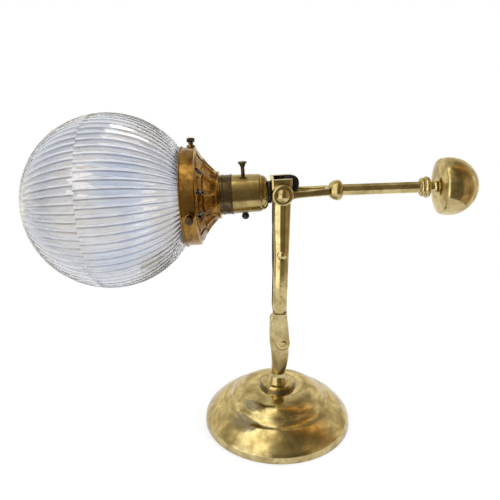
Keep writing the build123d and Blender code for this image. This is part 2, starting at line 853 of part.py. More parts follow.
with BuildPart() as insulating_ring:
    with BuildSketch(head_side):
        with Locations((ring_station, nipple_radius + thread_gap)):
            Rectangle(
                yoke_left - ring_station,
                ring_radius - nipple_radius - thread_gap,
                align=(Align.MIN, Align.MIN),
            )
        fillet(vertices().group_by(Axis.Y)[-1], ring_round)
    revolve(axis=head_axis)
insulating_ring.part.label = "insulating_ring"
export_step(insulating_ring.part, "parts/insulating_ring.step")

# Domed cap of the lampholder, with a hub that takes the nipple.
with BuildPart() as holder_cap:
    with BuildSketch(head_side):
        with BuildLine():
            TangentArc((cap_end, cap_radius), (ring_station, cap_face_radius), tangent=(1, 0))
            Polyline(
                (ring_station, cap_face_radius),
                (ring_station, nipple_radius + thread_gap),
                (cap_hub_end, nipple_radius + thread_gap),
                (cap_hub_end, cap_hub_radius),
                (ring_station - cap_wall, cap_hub_radius),
                (ring_station - cap_wall, cap_face_radius - cap_wall),
            )
            TangentArc(
                (cap_end, cap_radius - cap_wall),
                (ring_station - cap_wall, cap_face_radius - cap_wall),
                tangent=(1, 0),
            )
            Line((cap_end, cap_radius - cap_wall), (cap_end, cap_radius))
        make_face()
    revolve(axis=head_axis)
holder_cap.part.label = "holder_cap"
export_step(holder_cap.part, "parts/holder_cap.step")

# Body of the lampholder, with the two holes of the switch bar.
block_back = cap_end - body_wall
with BuildPart() as holder_body:
    with BuildSketch(head_side):
        with BuildLine():
            TangentArc(
                (cap_end - body_shoulder, body_rear_radius), (cap_end, cap_radius), tangent=(1, 0)
            )
            Polyline(
                (cap_end, cap_radius),
                (cap_end, cap_radius - cap_wall),
                (block_back, cap_radius - cap_wall),
                (block_back, block_radius + seat_gap),
                (cap_end - body_shoulder, body_rear_radius - body_wall),
                (body_front, body_front_radius - body_wall),
                (body_front, body_front_radius),
                (cap_end - body_shoulder, body_rear_radius),
            )
        make_face()
    revolve(axis=head_axis)
    with BuildSketch(head_plan):
        with Locations((switch_station, 0)):
            Circle(switch_hole_radius)
    extrude(amount=2 * body_front_radius, both=True, mode=Mode.SUBTRACT)
holder_body.part.label = "holder_body"
export_step(holder_body.part, "parts/holder_body.step")

# Screwed skirt that carries the shade rings.
with BuildPart() as holder_skirt:
    with BuildSketch(across_head(holder_mouth)):
        Circle(skirt_radius)
        Circle(skirt_radius - skirt_wall, mode=Mode.SUBTRACT)
    extrude(amount=body_front + skirt_tuck - holder_mouth)
holder_skirt.part.label = "holder_skirt"
export_step(holder_skirt.part, "parts/holder_skirt.step")

# Bayonet barrel: a tube with two hooked slots and a flange at its inner end.
barrel_end = barrel_bore_end + barrel_flange
slot_reach = 2 * barrel_bore_radius
slot_far = (
    slot_reach * math.cos(math.radians(pin_slot_turn)),
    slot_reach * math.sin(math.radians(pin_slot_turn)),
)
with BuildPart() as bayonet_barrel:
    with BuildSketch(across_head(holder_mouth)):
        Circle(barrel_bore_radius + barrel_wall)
    extrude(amount=barrel_bore_end - holder_mouth)
    with BuildSketch(across_head(barrel_bore_end)):
        Circle(block_radius)
    extrude(amount=barrel_flange)
    with BuildSketch(across_head(holder_mouth)):
        Circle(barrel_bore_radius)
    extrude(amount=barrel_bore_end - holder_mouth, mode=Mode.SUBTRACT)
    with BuildSketch(across_head(barrel_bore_end)):
        Circle(barrel_bore_radius - barrel_stop)
    extrude(amount=barrel_flange, mode=Mode.SUBTRACT)
    with BuildSketch(across_head(holder_mouth)):
        Rectangle(2 * slot_reach, pin_slot_width)
    extrude(amount=pin_slot_length, mode=Mode.SUBTRACT)
    with BuildSketch(across_head(holder_mouth + pin_slot_length - pin_slot_width)):
        with PolarLocations(0, 2):
            Polygon((0, 0), (slot_reach, 0), slot_far, align=None)
    extrude(amount=pin_slot_width, mode=Mode.SUBTRACT)
bayonet_barrel.part.label = "bayonet_barrel"
export_step(bayonet_barrel.part, "parts/bayonet_barrel.step")

# Moulded block that carries the contacts and guides the switch bar.
with BuildPart() as contact_block:
    with BuildSketch(across_head(block_back)):
        Circle(block_radius)
    extrude(amount=barrel_end - block_back)
    with BuildSketch(across_head(barrel_end)):
        Circle(block_rim_radius)
    extrude(amount=block_face - barrel_end, mode=Mode.SUBTRACT)
    with BuildSketch(across_head(block_face)):
        with GridLocations(plunger_spacing, 0, 2, 1):
            Circle(plunger_radius + running_gap)
    extrude(amount=plunger_bore_end - block_face, mode=Mode.SUBTRACT)
    with BuildSketch(across_head(block_back)):
        with GridLocations(core_spacing, 0, 2, 1):
            Circle(core_radius + core_gap)
    extrude(amount=-core_depth, mode=Mode.SUBTRACT)
    with BuildSketch(head_plan):
        with Locations((switch_station, 0)):
            Circle(switch_radius + running_gap)
    extrude(amount=2 * block_radius, both=True, mode=Mode.SUBTRACT)
contact_block.part.label = "contact_block"
export_step(contact_block.part, "parts/contact_block.step")

# Sprung contacts: a pin with a cup behind, and its spring.
cup_radius = plunger_radius - plunger_wall
with BuildPart() as contact_plunger_front:
    with BuildSketch(across_head(plunger_tip)):
        with Locations((-plunger_spacing / 2, 0)):
            Circle(plunger_radius)
    extrude(amount=plunger_length)
    with BuildSketch(across_head(plunger_tip + plunger_front)):
        with Locations((-plunger_spacing / 2, 0)):
            Circle(cup_radius)
    extrude(amount=plunger_length - plunger_front, mode=Mode.SUBTRACT)
    fillet(edges().sort_by(head_axis)[0], plunger_wall)
contact_plunger_front.part.label = "contact_plunger_front"
export_step(contact_plunger_front.part, "parts/contact_plunger_front.step")

with BuildPart() as contact_plunger_rear:
    mirror(contact_plunger_front.part, about=Plane.XZ)
contact_plunger_rear.part.label = "contact_plunger_rear"
export_step(contact_plunger_rear.part, "parts/contact_plunger_rear.step")

spring_start = plunger_tip + plunger_front + spring_wire
spring_length = plunger_bore_end - spring_wire - spring_start
with BuildPart() as contact_spring_front:
    with BuildLine() as spring_path:
        Helix(
            pitch=spring_length / spring_coils,
            height=spring_length,
            radius=cup_radius - spring_play - spring_wire / 2,
            center=head_point(spring_start, 0, -plunger_spacing / 2),
            direction=head_along,
        )
    with BuildSketch(Plane(spring_path.line @ 0, z_dir=spring_path.line % 0)):
        Circle(spring_wire / 2)
    sweep(is_frenet=True)
contact_spring_front.part.label = "contact_spring_front"
export_step(contact_spring_front.part, "parts/contact_spring_front.step")

with BuildPart() as contact_spring_rear:
    mirror(contact_spring_front.part, about=Plane.XZ)
contact_spring_rear.part.label = "contact_spring_rear"
export_step(contact_spring_rear.part, "parts/contact_spring_rear.step")

# Push bar of the switch, square to the arm.
switch_axis = Axis(head_point(switch_station, 0), head_side.y_dir)
knob_base = switch_top - switch_knob_height
with BuildPart() as switch_bar:
    with BuildSketch(turned_at(switch_station)):
        with BuildLine():
            Polyline(
                (0, switch_top),
                (0, switch_tip_top - switch_tip_bore_depth),
                (switch_radius, switch_tip_top - switch_tip_bore_depth),
                (switch_radius, knob_base),
                (switch_knob_radius - switch_knob_round, switch_top - 2 * switch_knob_round),
            )
            ThreePointArc(
                (switch_knob_radius - switch_knob_round, switch_top - 2 * switch_knob_round),
                (switch_knob_radius, switch_top - switch_knob_round),
                (switch_knob_face, switch_top),
            )
            Line((switch_knob_face, switch_top), (0, switch_top))
        make_face()
    revolve(axis=switch_axis)
switch_bar.part.label = "switch_bar"
export_step(switch_bar.part, "parts/switch_bar.step")

with BuildPart() as switch_tip:
    with BuildSketch(turned_at(switch_station)):
        with BuildLine():
            tip_bottom = switch_tip_top - switch_tip_length
            Line((0, switch_tip_top), (switch_tip_face, switch_tip_top))
            ThreePointArc(
                (switch_tip_face, switch_tip_top),
                (switch_tip_radius, switch_tip_top - switch_tip_length / 2),
                (switch_tip_face, tip_bottom),
            )
            Polyline((switch_tip_face, tip_bottom), (0, tip_bottom), (0, switch_tip_top))
        make_face()
    revolve(axis=switch_axis)
    with BuildSketch(head_plan.offset(switch_tip_top)):
        with Locations((switch_station, 0)):
            Circle(switch_radius + thread_gap)
    extrude(amount=-switch_tip_bore_depth, mode=Mode.SUBTRACT)
switch_tip.part.label = "switch_tip"
export_step(switch_tip.part, "parts/switch_tip.step")

# ------------------------------------------------------------------ shade rings and gallery
with BuildPart() as shade_ring_rear:
    with BuildSketch(head_side):
        with Locations((rings_split, skirt_radius + thread_gap)):
            Rectangle(
                rings_rear - rings_split,
                shade_ring_radius - skirt_radius - thread_gap,
                align=(Align.MIN, Align.MIN),
            )
        with Locations((rings_rear - shade_ring_ridge, shade_ring_radius)):
            Circle(shade_ring_ridge)
    revolve(axis=head_axis)
shade_ring_rear.part.label = "shade_ring_rear"
export_step(shade_ring_rear.part, "parts/shade_ring_rear.step")

with BuildPart() as shade_ring_front:
    with BuildSketch(head_side):
        with Locations((rings_front, skirt_radius + thread_gap)):
            Rectangle(
                rings_split - rings_front,
                shade_ring_radius - skirt_radius - thread_gap,
                align=(Align.MIN, Align.MIN),
            )
        with Locations(((rings_front + rings_split) / 2, shade_ring_radius)):
            Circle(shade_ring_ridge)
    revolve(axis=head_axis)
shade_ring_front.part.label = "shade_ring_front"
export_step(shade_ring_front.part, "parts/shade_ring_front.step")

with BuildPart() as inner_shade_ring:
    with BuildSketch(across_head(rings_front - gallery_wall)):
        Circle(inner_ring_radius)
        Circle(skirt_radius + thread_gap, mode=Mode.SUBTRACT)
    extrude(amount=-inner_ring_length)
inner_shade_ring.part.label = "inner_shade_ring"
export_step(inner_shade_ring.part, "parts/inner_shade_ring.step")

# Spun gallery: clamped plate, collar, cone and a band with a rolled rim.
collar_end_point = (rings_front - gallery_collar_length, gallery_collar_radius)
band_start = (gallery_step, gallery_band_radius)
ridge_line = Vector(*ridge_end) - Vector(*ridge_start)
screw_angles = [screw_first - count * screw_turn for count in range(3)]
with BuildPart() as gallery:
    with BuildSketch(head_side):
        with BuildLine():
            Polyline(
                (rings_front, skirt_radius + seat_gap), (rings_front, gallery_collar_radius), collar_end_point
            )
            ThreePointArc(collar_end_point, gallery_cone_middle, gallery_cone_end)
            SagittaArc(gallery_cone_end, band_start, gallery_wall / 2)
            Line(band_start, (gallery_rim, gallery_band_radius))
            offset(amount=gallery_wall, side=Side.LEFT)
        make_face()
        with Locations(*((station, gallery_collar_radius) for station in collar_ring_stations)):
            Circle(collar_ring_radius)
        with Locations((gallery_rim + gallery_bead_radius, gallery_band_radius + gallery_wall / 2)):
            Circle(gallery_bead_radius)
    revolve(axis=head_axis)
    with BuildSketch(
        Plane(
            head_point(*ridge_start) - head_side.y_dir * ridge_sink,
            x_dir=(0, 1, 0),
            z_dir=head_point(*ridge_end) - head_point(*ridge_start),
        )
    ):
        Circle(ridge_radius)
    ridge = extrude(amount=ridge_line.length, mode=Mode.PRIVATE)
    add([ridge.rotate(head_axis, petal_turn + count * 360 / petal_count) for count in range(petal_count)])
    with BuildSketch(head_plan):
        with Locations((vent_near[0], 0)):
            Circle(vent_near[1])
        with Locations((vent_far[0], 0)):
            Circle(vent_far[1])
        make_hull()
    vent = extrude(amount=2 * gallery_band_radius, mode=Mode.PRIVATE)
    add(
        [vent.rotate(head_axis, petal_turn + count * 360 / petal_count) for count in range(petal_count)],
        mode=Mode.SUBTRACT,
    )
    for angle in screw_angles:
        with BuildSketch(on_band(angle, gallery_band_radius - gallery_wall / 2)):
            Circle(screw_boss_radius)
        extrude(amount=gallery_wall / 2 + screw_boss_height)
        with BuildSketch(on_band(angle, gallery_band_radius + screw_boss_height)):
            Circle(screw_radius + thread_gap)
        extrude(amount=-(screw_boss_height + 2 * gallery_wall), mode=Mode.SUBTRACT)
gallery.part.label = "gallery"
export_step(gallery.part, "parts/gallery.step")

# Thumbscrews that grip the neck of the globe behind its lip.
screw_seat = gallery_band_radius + screw_boss_height + seat_gap
screw_head_base = screw_seat + screw_neck_height
screw_head_top = screw_head_base + screw_head_height
with BuildPart() as gallery_screw_upper:
    with BuildSketch(
        Plane(head_point(screw_station, 0), x_dir=head_along, z_dir=spoke(screw_first - 90))
    ):
        with BuildLine():
            Polyline(
                (0, screw_head_top),
                (0, globe_waist_radius + seat_gap),
                (screw_radius, globe_waist_radius + seat_gap),
                (screw_radius, screw_seat),
                (screw_neck_radius, screw_seat),
                (screw_neck_radius, screw_head_base),
                (screw_head_radius - screw_head_round, screw_head_base),
            )
            RadiusArc(
                (screw_head_radius, screw_head_base + screw_head_round),
                (screw_head_radius - screw_head_round, screw_head_base),
                screw_head_round,
            )
            Line(
                (screw_head_radius, screw_head_base + screw_head_round),
                (screw_head_radius, screw_head_top - screw_head_round),
            )
            RadiusArc(
                (screw_head_radius - screw_head_round, screw_head_top),
                (screw_head_radius, screw_head_top - screw_head_round),
                screw_head_round,
            )
            Line((screw_head_radius - screw_head_round, screw_head_top), (0, screw_head_top))
        make_face()
    revolve(axis=Axis(head_point(screw_station, 0), spoke(screw_first)))
gallery_screw_upper.part.label = "gallery_screw_upper"
export_step(gallery_screw_upper.part, "parts/gallery_screw_upper.step")

with BuildPart() as gallery_screw_front:
    add(gallery_screw_upper.part.rotate(head_axis, screw_turn))
gallery_screw_front.part.label = "gallery_screw_front"
export_step(gallery_screw_front.part, "parts/gallery_screw_front.step")

with BuildPart() as gallery_screw_rear:
    add(gallery_screw_upper.part.rotate(head_axis, -screw_turn))
gallery_screw_rear.part.label = "gallery_screw_rear"
export_step(gallery_screw_rear.part, "parts/gallery_screw_rear.step")

# ------------------------------------------------------------------ globe
globe_station = globe_neck_start - math.sqrt(globe_radius**2 - globe_neck_radius**2)


def sphere_station(radius, height):
    """Station at which a sphere round the globe's middle has this height above the axis."""
    return globe_station + math.sqrt(radius**2 - height**2)


lip_end = gallery_step - globe_seat_gap
lip_start = lip_end - globe_lip_length
waist_start = lip_start - globe_waist_length
globe_bore_radius = globe_neck_radius - glass_wall
globe_inner_radius = globe_radius - glass_wall
with BuildPart() as globe:
    with BuildSketch(head_side):
        with BuildLine():
            ThreePointArc(
                (globe_station - globe_radius, 0),
                (globe_station, globe_radius),
                (sphere_station(globe_radius, globe_neck_radius), globe_neck_radius),
            )
            Polyline(
                (sphere_station(globe_radius, globe_neck_radius), globe_neck_radius),
                (waist_start, globe_waist_radius),
                (lip_start, globe_waist_radius),
                (lip_start, globe_lip_radius),
                (lip_end, globe_lip_radius),
                (lip_end, globe_bore_radius),
                (sphere_station(globe_inner_radius, globe_bore_radius), globe_bore_radius),
            )
            ThreePointArc(
                (sphere_station(globe_inner_radius, globe_bore_radius), globe_bore_radius),
                (globe_station, globe_inner_radius),
                (globe_station - globe_inner_radius, 0),
            )
            Line((globe_station - globe_inner_radius, 0), (globe_station - globe_radius, 0))
        make_face()
        fillet(
            [
                vertices().sort_by_distance((station, globe_lip_radius, 0))[0]
                for station in (lip_start, lip_end)
            ],
            globe_lip_round,
        )
    revolve(axis=head_axis)
globe.part.label = "globe"
export_step(globe.part, "parts/globe.step")

# ------------------------------------------------------------------ wire
# One wire, in pieces that meet end to end: inside the arm, across the pivot, down the stem,
# across the knuckle, and through the foot to the terminal block.
head_run = [head_point(flex_end_station, 0)] + [head_point(*corner) for corner in flex_loop]
run_out = (head_run[-1] - head_run[-2]).normalized()
first_bend = head_run[-1] + run_out * ((pivot_height - flex_under_drop - head_run[-1].Z) / run_out.Z)
top_run = [head_run[-1], first_bend, Vector(flex_side, 0, pivot_height - flex_side_drop)]
top_run.append(Vector(flex_side, 0, pivot_height - flex_stem_drop))
stem_run = [
    top_run[-1],
    Vector(flex_side, 0, tongue_top_height + flex_side_rise),
    Vector(0, 0, tongue_top_height + flex_middle_rise),
    Vector(0, 0, tongue_top_height + flex_knuckle_length),
]
foot_run = [Vector(0, 0, tongue_top_height), Vector(0, 0, flex_floor)]
foot_run.append(Vector(0, terminal_place + terminal_flex_depth, flex_floor))
for name, radii in (
    ("flex_head", bend_radii(head_run)),
    ("flex_top_bend", bend_radii(top_run)),
    ("flex_stem", bend_radii(stem_run)),
    ("flex_foot", [flex_foot_bend_radius]),
):
    print(name, "bend radii", [round(radius, 1) for radius in radii])

with BuildPart() as flex_head:
    with BuildLine() as head_route:
        FilletPolyline(*head_run, radius=bend_radii(head_run))
    with BuildSketch(Plane(head_route.line @ 0, z_dir=head_route.line % 0)):
        Circle(flex_radius)
    sweep()
flex_head.part.label = "flex_head"
export_step(flex_head.part, "parts/flex_head.step")

with BuildPart() as flex_top_bend:
    with BuildLine() as top_route:
        FilletPolyline(*top_run, radius=bend_radii(top_run))
    with BuildSketch(Plane(top_route.line @ 0, z_dir=top_route.line % 0)):
        Circle(flex_radius)
    sweep()
flex_top_bend.part.label = "flex_top_bend"
export_step(flex_top_bend.part, "parts/flex_top_bend.step")

with BuildPart() as flex_stem:
    with BuildLine() as stem_route:
        FilletPolyline(*stem_run, radius=bend_radii(stem_run))
    with BuildSketch(Plane(stem_route.line @ 0, z_dir=stem_route.line % 0)):
        Circle(flex_radius)
    sweep()
flex_stem.part.label = "flex_stem"
export_step(flex_stem.part, "parts/flex_stem.step")

with BuildPart() as flex_foot_bend:
    with BuildSketch(Plane.XY.offset(tongue_top_height)):
        Circle(flex_radius)
    extrude(amount=flex_knuckle_length)
flex_foot_bend.part.label = "flex_foot_bend"
export_step(flex_foot_bend.part, "parts/flex_foot_bend.step")

with BuildPart() as flex_foot:
    with BuildLine() as foot_route:
        FilletPolyline(*foot_run, radius=flex_foot_bend_radius)
    with BuildSketch(Plane(foot_route.line @ 0, z_dir=foot_route.line % 0)):
        Circle(flex_radius)
    sweep()
flex_foot.part.label = "flex_foot"
export_step(flex_foot.part, "parts/flex_foot.step")

# The two cores, from the wire's end into the contact block.
with BuildPart() as core_wires:
    with BuildSketch(across_head(flex_end_station)):
        with GridLocations(core_spacing, 0, 2, 1):
            Circle(core_radius)
    extrude(amount=-(flex_end_station - block_back + core_depth))
core_wires.part.label = "core_wires"
export_step(core_wires.part, "parts/core_wires.step")
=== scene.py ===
"""Counterbalanced table lamp in brass with a ribbed glass globe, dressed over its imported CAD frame.

Lengths in the classes are millimetres; meshes are turned to metres when they become objects. The
origin is the middle of the base on the table, +X points to the ball weight, -Y to the front and
+Z up. Stations along the arm are distances from its pivot, negative towards the globe.
"""

import logging
import math
from collections.abc import Sequence
from dataclasses import dataclass
from enum import Enum

import bmesh
import bpy
from bmesh.types import BMesh
from bpy.types import Material, Node, NodeSocket, NodeTree, Object
from mathutils import Euler, Matrix, Vector


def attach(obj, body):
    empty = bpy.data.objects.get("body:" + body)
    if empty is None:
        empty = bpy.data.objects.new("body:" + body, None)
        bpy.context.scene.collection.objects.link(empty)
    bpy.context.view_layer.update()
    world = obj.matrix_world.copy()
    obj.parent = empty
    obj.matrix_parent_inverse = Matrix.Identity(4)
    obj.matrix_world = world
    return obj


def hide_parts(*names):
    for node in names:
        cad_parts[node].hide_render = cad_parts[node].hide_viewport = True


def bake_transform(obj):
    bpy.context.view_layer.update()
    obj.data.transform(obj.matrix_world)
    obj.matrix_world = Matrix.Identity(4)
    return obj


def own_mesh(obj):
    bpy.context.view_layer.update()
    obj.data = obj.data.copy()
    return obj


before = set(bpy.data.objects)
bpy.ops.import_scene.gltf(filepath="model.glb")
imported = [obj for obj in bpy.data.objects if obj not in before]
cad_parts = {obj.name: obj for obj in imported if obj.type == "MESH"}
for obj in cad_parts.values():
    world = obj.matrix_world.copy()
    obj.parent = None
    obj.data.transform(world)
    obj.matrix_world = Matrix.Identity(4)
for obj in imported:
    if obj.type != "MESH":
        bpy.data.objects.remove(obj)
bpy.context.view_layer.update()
log = logging.getLogger("globe_lamp")

Pair = tuple[float, float]
Triple = tuple[float, float, float]
Ramp = tuple[tuple[float, str], ...]  # positions and hex codes

MM = 0.001
TURN = math.tau
WELD = 0.001  # millimetres within which vertices are merged

PIVOT_HEIGHT = 230.5
GLOBE_STATION = -148.58  # the globe's middle, along the arm
RIBS = 66  # round each half of the globe
SEAM = -10.0  # where the globe's halves meet, from its middle along the arm
WIRE_RADIUS = 2.8
WIRE_STEPS = 14  # between two corners of the wire's route


def clamped(value: float) -> float:
    """The value, kept between 0 and 1."""
    return min(1.0, max(0.0, value))


def pitch(size: float) -> float:
    """Scale of a texture whose features are this many millimetres apart."""
    return 1 / (size * MM)


# ---------------------------------------------------------------------------------------------
# Colours and shader nodes
# ---------------------------------------------------------------------------------------------
def colour(code: str) -> tuple[float, float, float, float]:
    """Turn an sRGB hex code into a linear colour.

    Args:
        code: Six hex digits, with or without a leading hash.

    Returns:
        Linear red, green, blue and an alpha of one.
    """
    digits = code.lstrip("#")
    parts = [int(digits[place : place + 2], 16) / 255 for place in (0, 2, 4)]
    linear = [part / 12.92 if part <= 0.04045 else ((part + 0.055) / 1.055) ** 2.4 for part in parts]
    return (*linear, 1.0)


def add_node(tree: NodeTree, kind: str, *inputs: object, **named: object) -> Node:
    """Add a shader node with its settings and links.

    Args:
        tree: Node tree that takes the node.
        kind: Blender's name for the node's type, without its ShaderNode.
        inputs: Values of its inputs, in their order.
        named: Its settings, and values of its inputs by their names, which have a capital, with
            underscores for spaces. An input is linked to a value that is an output, or to the
            first output in use of a value that is a node.

    Returns:
        The new node.
    """
    node = tree.nodes.new(f"ShaderNode{kind}")
    for name, value in named.items():
        if name.islower():
            setattr(node, name, value)
    given = list(zip(node.inputs, inputs))
    for name, value in named.items():
        if not name.islower():
            label = name.replace("_", " ")
            given.append((next(one for one in node.inputs if one.enabled and one.name == label), value))
    for socket, value in given:
        if isinstance(value, Node):
            value = next(one for one in value.outputs if one.enabled)
        if isinstance(value, NodeSocket):
            tree.links.new(value, socket)
        else:
            socket.default_value = value
    return node


def fresh_material(name: str) -> tuple[Material, NodeTree]:
    """Make an empty material.

    Args:
        name: Name of the material.

    Returns:
        The material and its node tree.
    """
    material = bpy.data.materials.new(name)
    material.use_nodes = True
    material.node_tree.nodes.clear()
    return material, material.node_tree


def stops(node: Node, colours: Ramp) -> Node:
    """Set a colour ramp.

    Args:
        node: The ramp node.
        colours: Positions and hex codes, in order.

    Returns:
        The same node.
    """
    ramp = node.color_ramp
    while len(ramp.elements) > 1:
        ramp.elements.remove(ramp.elements[-1])
    for index, (place, code) in enumerate(colours):
        stop = ramp.elements[0] if index == 0 else ramp.elements.new(place)
        stop.position = place
        stop.color = colour(code)
    return node


# ---------------------------------------------------------------------------------------------
# Finishes
# ---------------------------------------------------------------------------------------------
@dataclass(frozen=True)
class Brass:
    """Lacquer-free brass, turned or spun, polished by hand and left to age.

    The eye gets a warm metal whose gloss changes in cloudy patches, with fine wipe marks, and
    small brown spots where the polish never reaches.

    Attributes:
        name: Name of the finish.
        bright: Colour where it is rubbed bright.
        mellow: Colour of the cloudy patches.
        spot: Colour of the brown spots.
        gloss: Least and greatest roughness.
        patch_size: Size of the cloudy patches.
        spotting: Noise below which a spot starts.
        spot_edge: Fall of the noise over which a spot reaches its full strength.
        spot_strength: That full strength.
        spot_size: Size of the spots.
        wipe_size: Size of the wipe marks across their run.
        wear_depth: Height of the wipe marks.
    """

    name: str
    bright: str
    mellow: str
    spot: str
    gloss: Pair = (0.14, 0.30)
    patch_size: float = 18.0
    spotting: float = 0.36
    spot_edge: float = 0.10
    spot_strength: float = 0.85
    spot_size: float = 1.6
    wipe_size: float = 3.0
    wear_depth: float = 0.03

    def build(self) -> Material:
        """Build the material."""
        material, tree = fresh_material(self.name)
        place = add_node(tree, "TexCoord").outputs["Object"]
        patches = pitch(self.patch_size)
        fog = add_node(
            tree, "TexNoise", Vector=place, Scale=patches, Detail=6.0, Roughness=0.66, Distortion=0.4
        )
        cloud = add_node(tree, "MapRange", Value=fog, From_Min=0.34, From_Max=0.66)
        specks = add_node(
            tree, "TexNoise", Vector=place, Scale=pitch(self.spot_size), Detail=3.0, Roughness=0.7
        )
        full = self.spotting - self.spot_edge
        spots = add_node(
            tree, "MapRange", Value=specks, From_Min=self.spotting, From_Max=full, To_Max=self.spot_strength
        )
        bright, mellow = colour(self.bright), colour(self.mellow)
        body = add_node(tree, "Mix", Factor=cloud, A=bright, B=mellow, data_type="RGBA")
        tint = add_node(tree, "Mix", Factor=spots, A=body, B=colour(self.spot), data_type="RGBA")
        dulled = add_node(tree, "Math", cloud, spots, operation="ADD")
        least, greatest = self.gloss
        rough = add_node(
            tree, "MapRange", Value=dulled, From_Min=0.35, From_Max=1.0, To_Min=least, To_Max=greatest
        )
        laid = add_node(tree, "Mapping", Vector=place, Scale=(1.0, 1.0, 6.0))
        wipe = add_node(
            tree, "TexNoise", Vector=laid, Scale=pitch(self.wipe_size), Detail=4.0, Roughness=0.75
        )
        relief = add_node(tree, "Bump", Height=wipe, Strength=0.35, Distance=self.wear_depth * MM)
        metal = add_node(
            tree, "BsdfPrincipled", Base_Color=tint, Metallic=1.0, Roughness=rough, Normal=relief
        )
        add_node(tree, "OutputMaterial", Surface=metal)
        return material


@dataclass(frozen=True)
class PressedGlass:
    """Pressed soda glass, clear with a faint violet cast from its age.

    The eye gets bright meridian lines, because the valleys between the ribs keep the mould's frosted
    skin and the rib backs are fire-polished, dim lines of painted shade, and soft mould ripples.

    Attributes:
        name: Name of the finish.
        painted_rib_shade: Colours across a rib: clear on its back, and a grey band of painted shade beside
            one valley.
        frost: Colour of the frosted skin.
        frosting: Greatest share of the frosted skin.
        frost_edge: Where the frost starts and is full, in ribs from a valley.
        ior: Index of refraction.
        ripple_size: Size of the mould ripples.
        ripple_depth: Their height.
        haze_size: Size of the faint blue and warm patches.
        haze: Their colours.
    """

    name: str = "pressed soda glass"
    # Clear across a rib but for a grey band beside one valley, which is painted shade.
    painted_rib_shade: Ramp = (
        (0.0, "#F1F2F4"),
        (0.12, "#F1F2F4"),
        (0.17, "#A9ACB6"),
        (0.27, "#A9ACB6"),
        (0.38, "#F1F2F4"),
        (1.0, "#F1F2F4"),
    )
    frost: str = "#F2F2F6"
    frosting: float = 0.52
    frost_edge: Pair = (0.16, 0.07)
    ior: float = 1.52
    ripple_size: float = 14.0
    ripple_depth: float = 0.03
    haze_size: float = 55.0
    haze: Ramp = ((0.36, "#EFF4FD"), (0.48, "#FFFFFF"), (0.54, "#FFFFFF"), (0.64, "#FBF4EC"))

    def build(self) -> Material:
        """Build the material."""
        material, tree = fresh_material(self.name)
        place = add_node(tree, "TexCoord").outputs["Object"]
        ripple = add_node(tree, "TexNoise", Vector=place, Scale=pitch(self.ripple_size), Detail=2.0)
        rib = self.rib(tree, place)
        back = add_node(tree, "Math", rib, 0.5, operation="PINGPONG")
        side = add_node(tree, "Math", rib, operation="FRACT")
        # The grey band across each rib is painted shade, multiplied with the haze below.
        lines = stops(add_node(tree, "ValToRGB", Fac=side), self.painted_rib_shade)
        weather = add_node(tree, "TexNoise", Vector=place, Scale=pitch(self.haze_size), Detail=1.0)
        haze = stops(add_node(tree, "ValToRGB", Fac=weather), self.haze)
        cast = add_node(tree, "Mix", Factor=1.0, A=lines, B=haze, data_type="RGBA", blend_type="MULTIPLY")
        relief = add_node(tree, "Bump", Height=ripple, Strength=0.4, Distance=self.ripple_depth * MM)
        clear = add_node(
            tree,
            "BsdfPrincipled",
            Base_Color=cast,
            Roughness=0.02,
            IOR=self.ior,
            Transmission_Weight=1.0,
            Normal=relief,
        )
        skin = add_node(tree, "BsdfPrincipled", Base_Color=colour(self.frost), Roughness=0.45)
        start, full = self.frost_edge
        frost = add_node(tree, "MapRange", Value=back, From_Min=start, From_Max=full, To_Max=self.frosting)
        patchy = add_node(tree, "MapRange", Value=ripple, From_Min=0.3, From_Max=0.7, To_Min=0.5, To_Max=1.0)
        frosted = add_node(tree, "Math", frost, patchy, operation="MULTIPLY")
        shader = add_node(tree, "MixShader", frosted, clear, skin)
        add_node(tree, "OutputMaterial", Surface=shader)
        return material

    def rib(self, tree: NodeTree, place: NodeSocket) -> Node:
        """Count the ribs round the globe, half a rib apart on the two sides of the seam.

        Args:
            tree: Node tree of the material.
            place: Object coordinates.

        Returns:
            A node that gives the number of ribs, with its fraction.
        """
        tilt = math.radians(HEAD.tilt)
        middle = Matrix.Rotation(tilt, 4, "Y") @ (-HEAD.place(GLOBE_STATION, 0) * MM)
        laid = add_node(tree, "Mapping", Vector=place, Location=middle, Rotation=(0.0, tilt, 0.0))
        station, depth, height = add_node(tree, "SeparateXYZ", laid).outputs
        angle = add_node(tree, "Math", height, depth, operation="ARCTAN2")
        outer_half = add_node(tree, "Math", station, SEAM * MM, operation="LESS_THAN")
        shift = add_node(tree, "Math", outer_half, 0.5, operation="MULTIPLY")
        return add_node(tree, "Math", angle, RIBS / TURN, shift, operation="MULTIPLY_ADD")


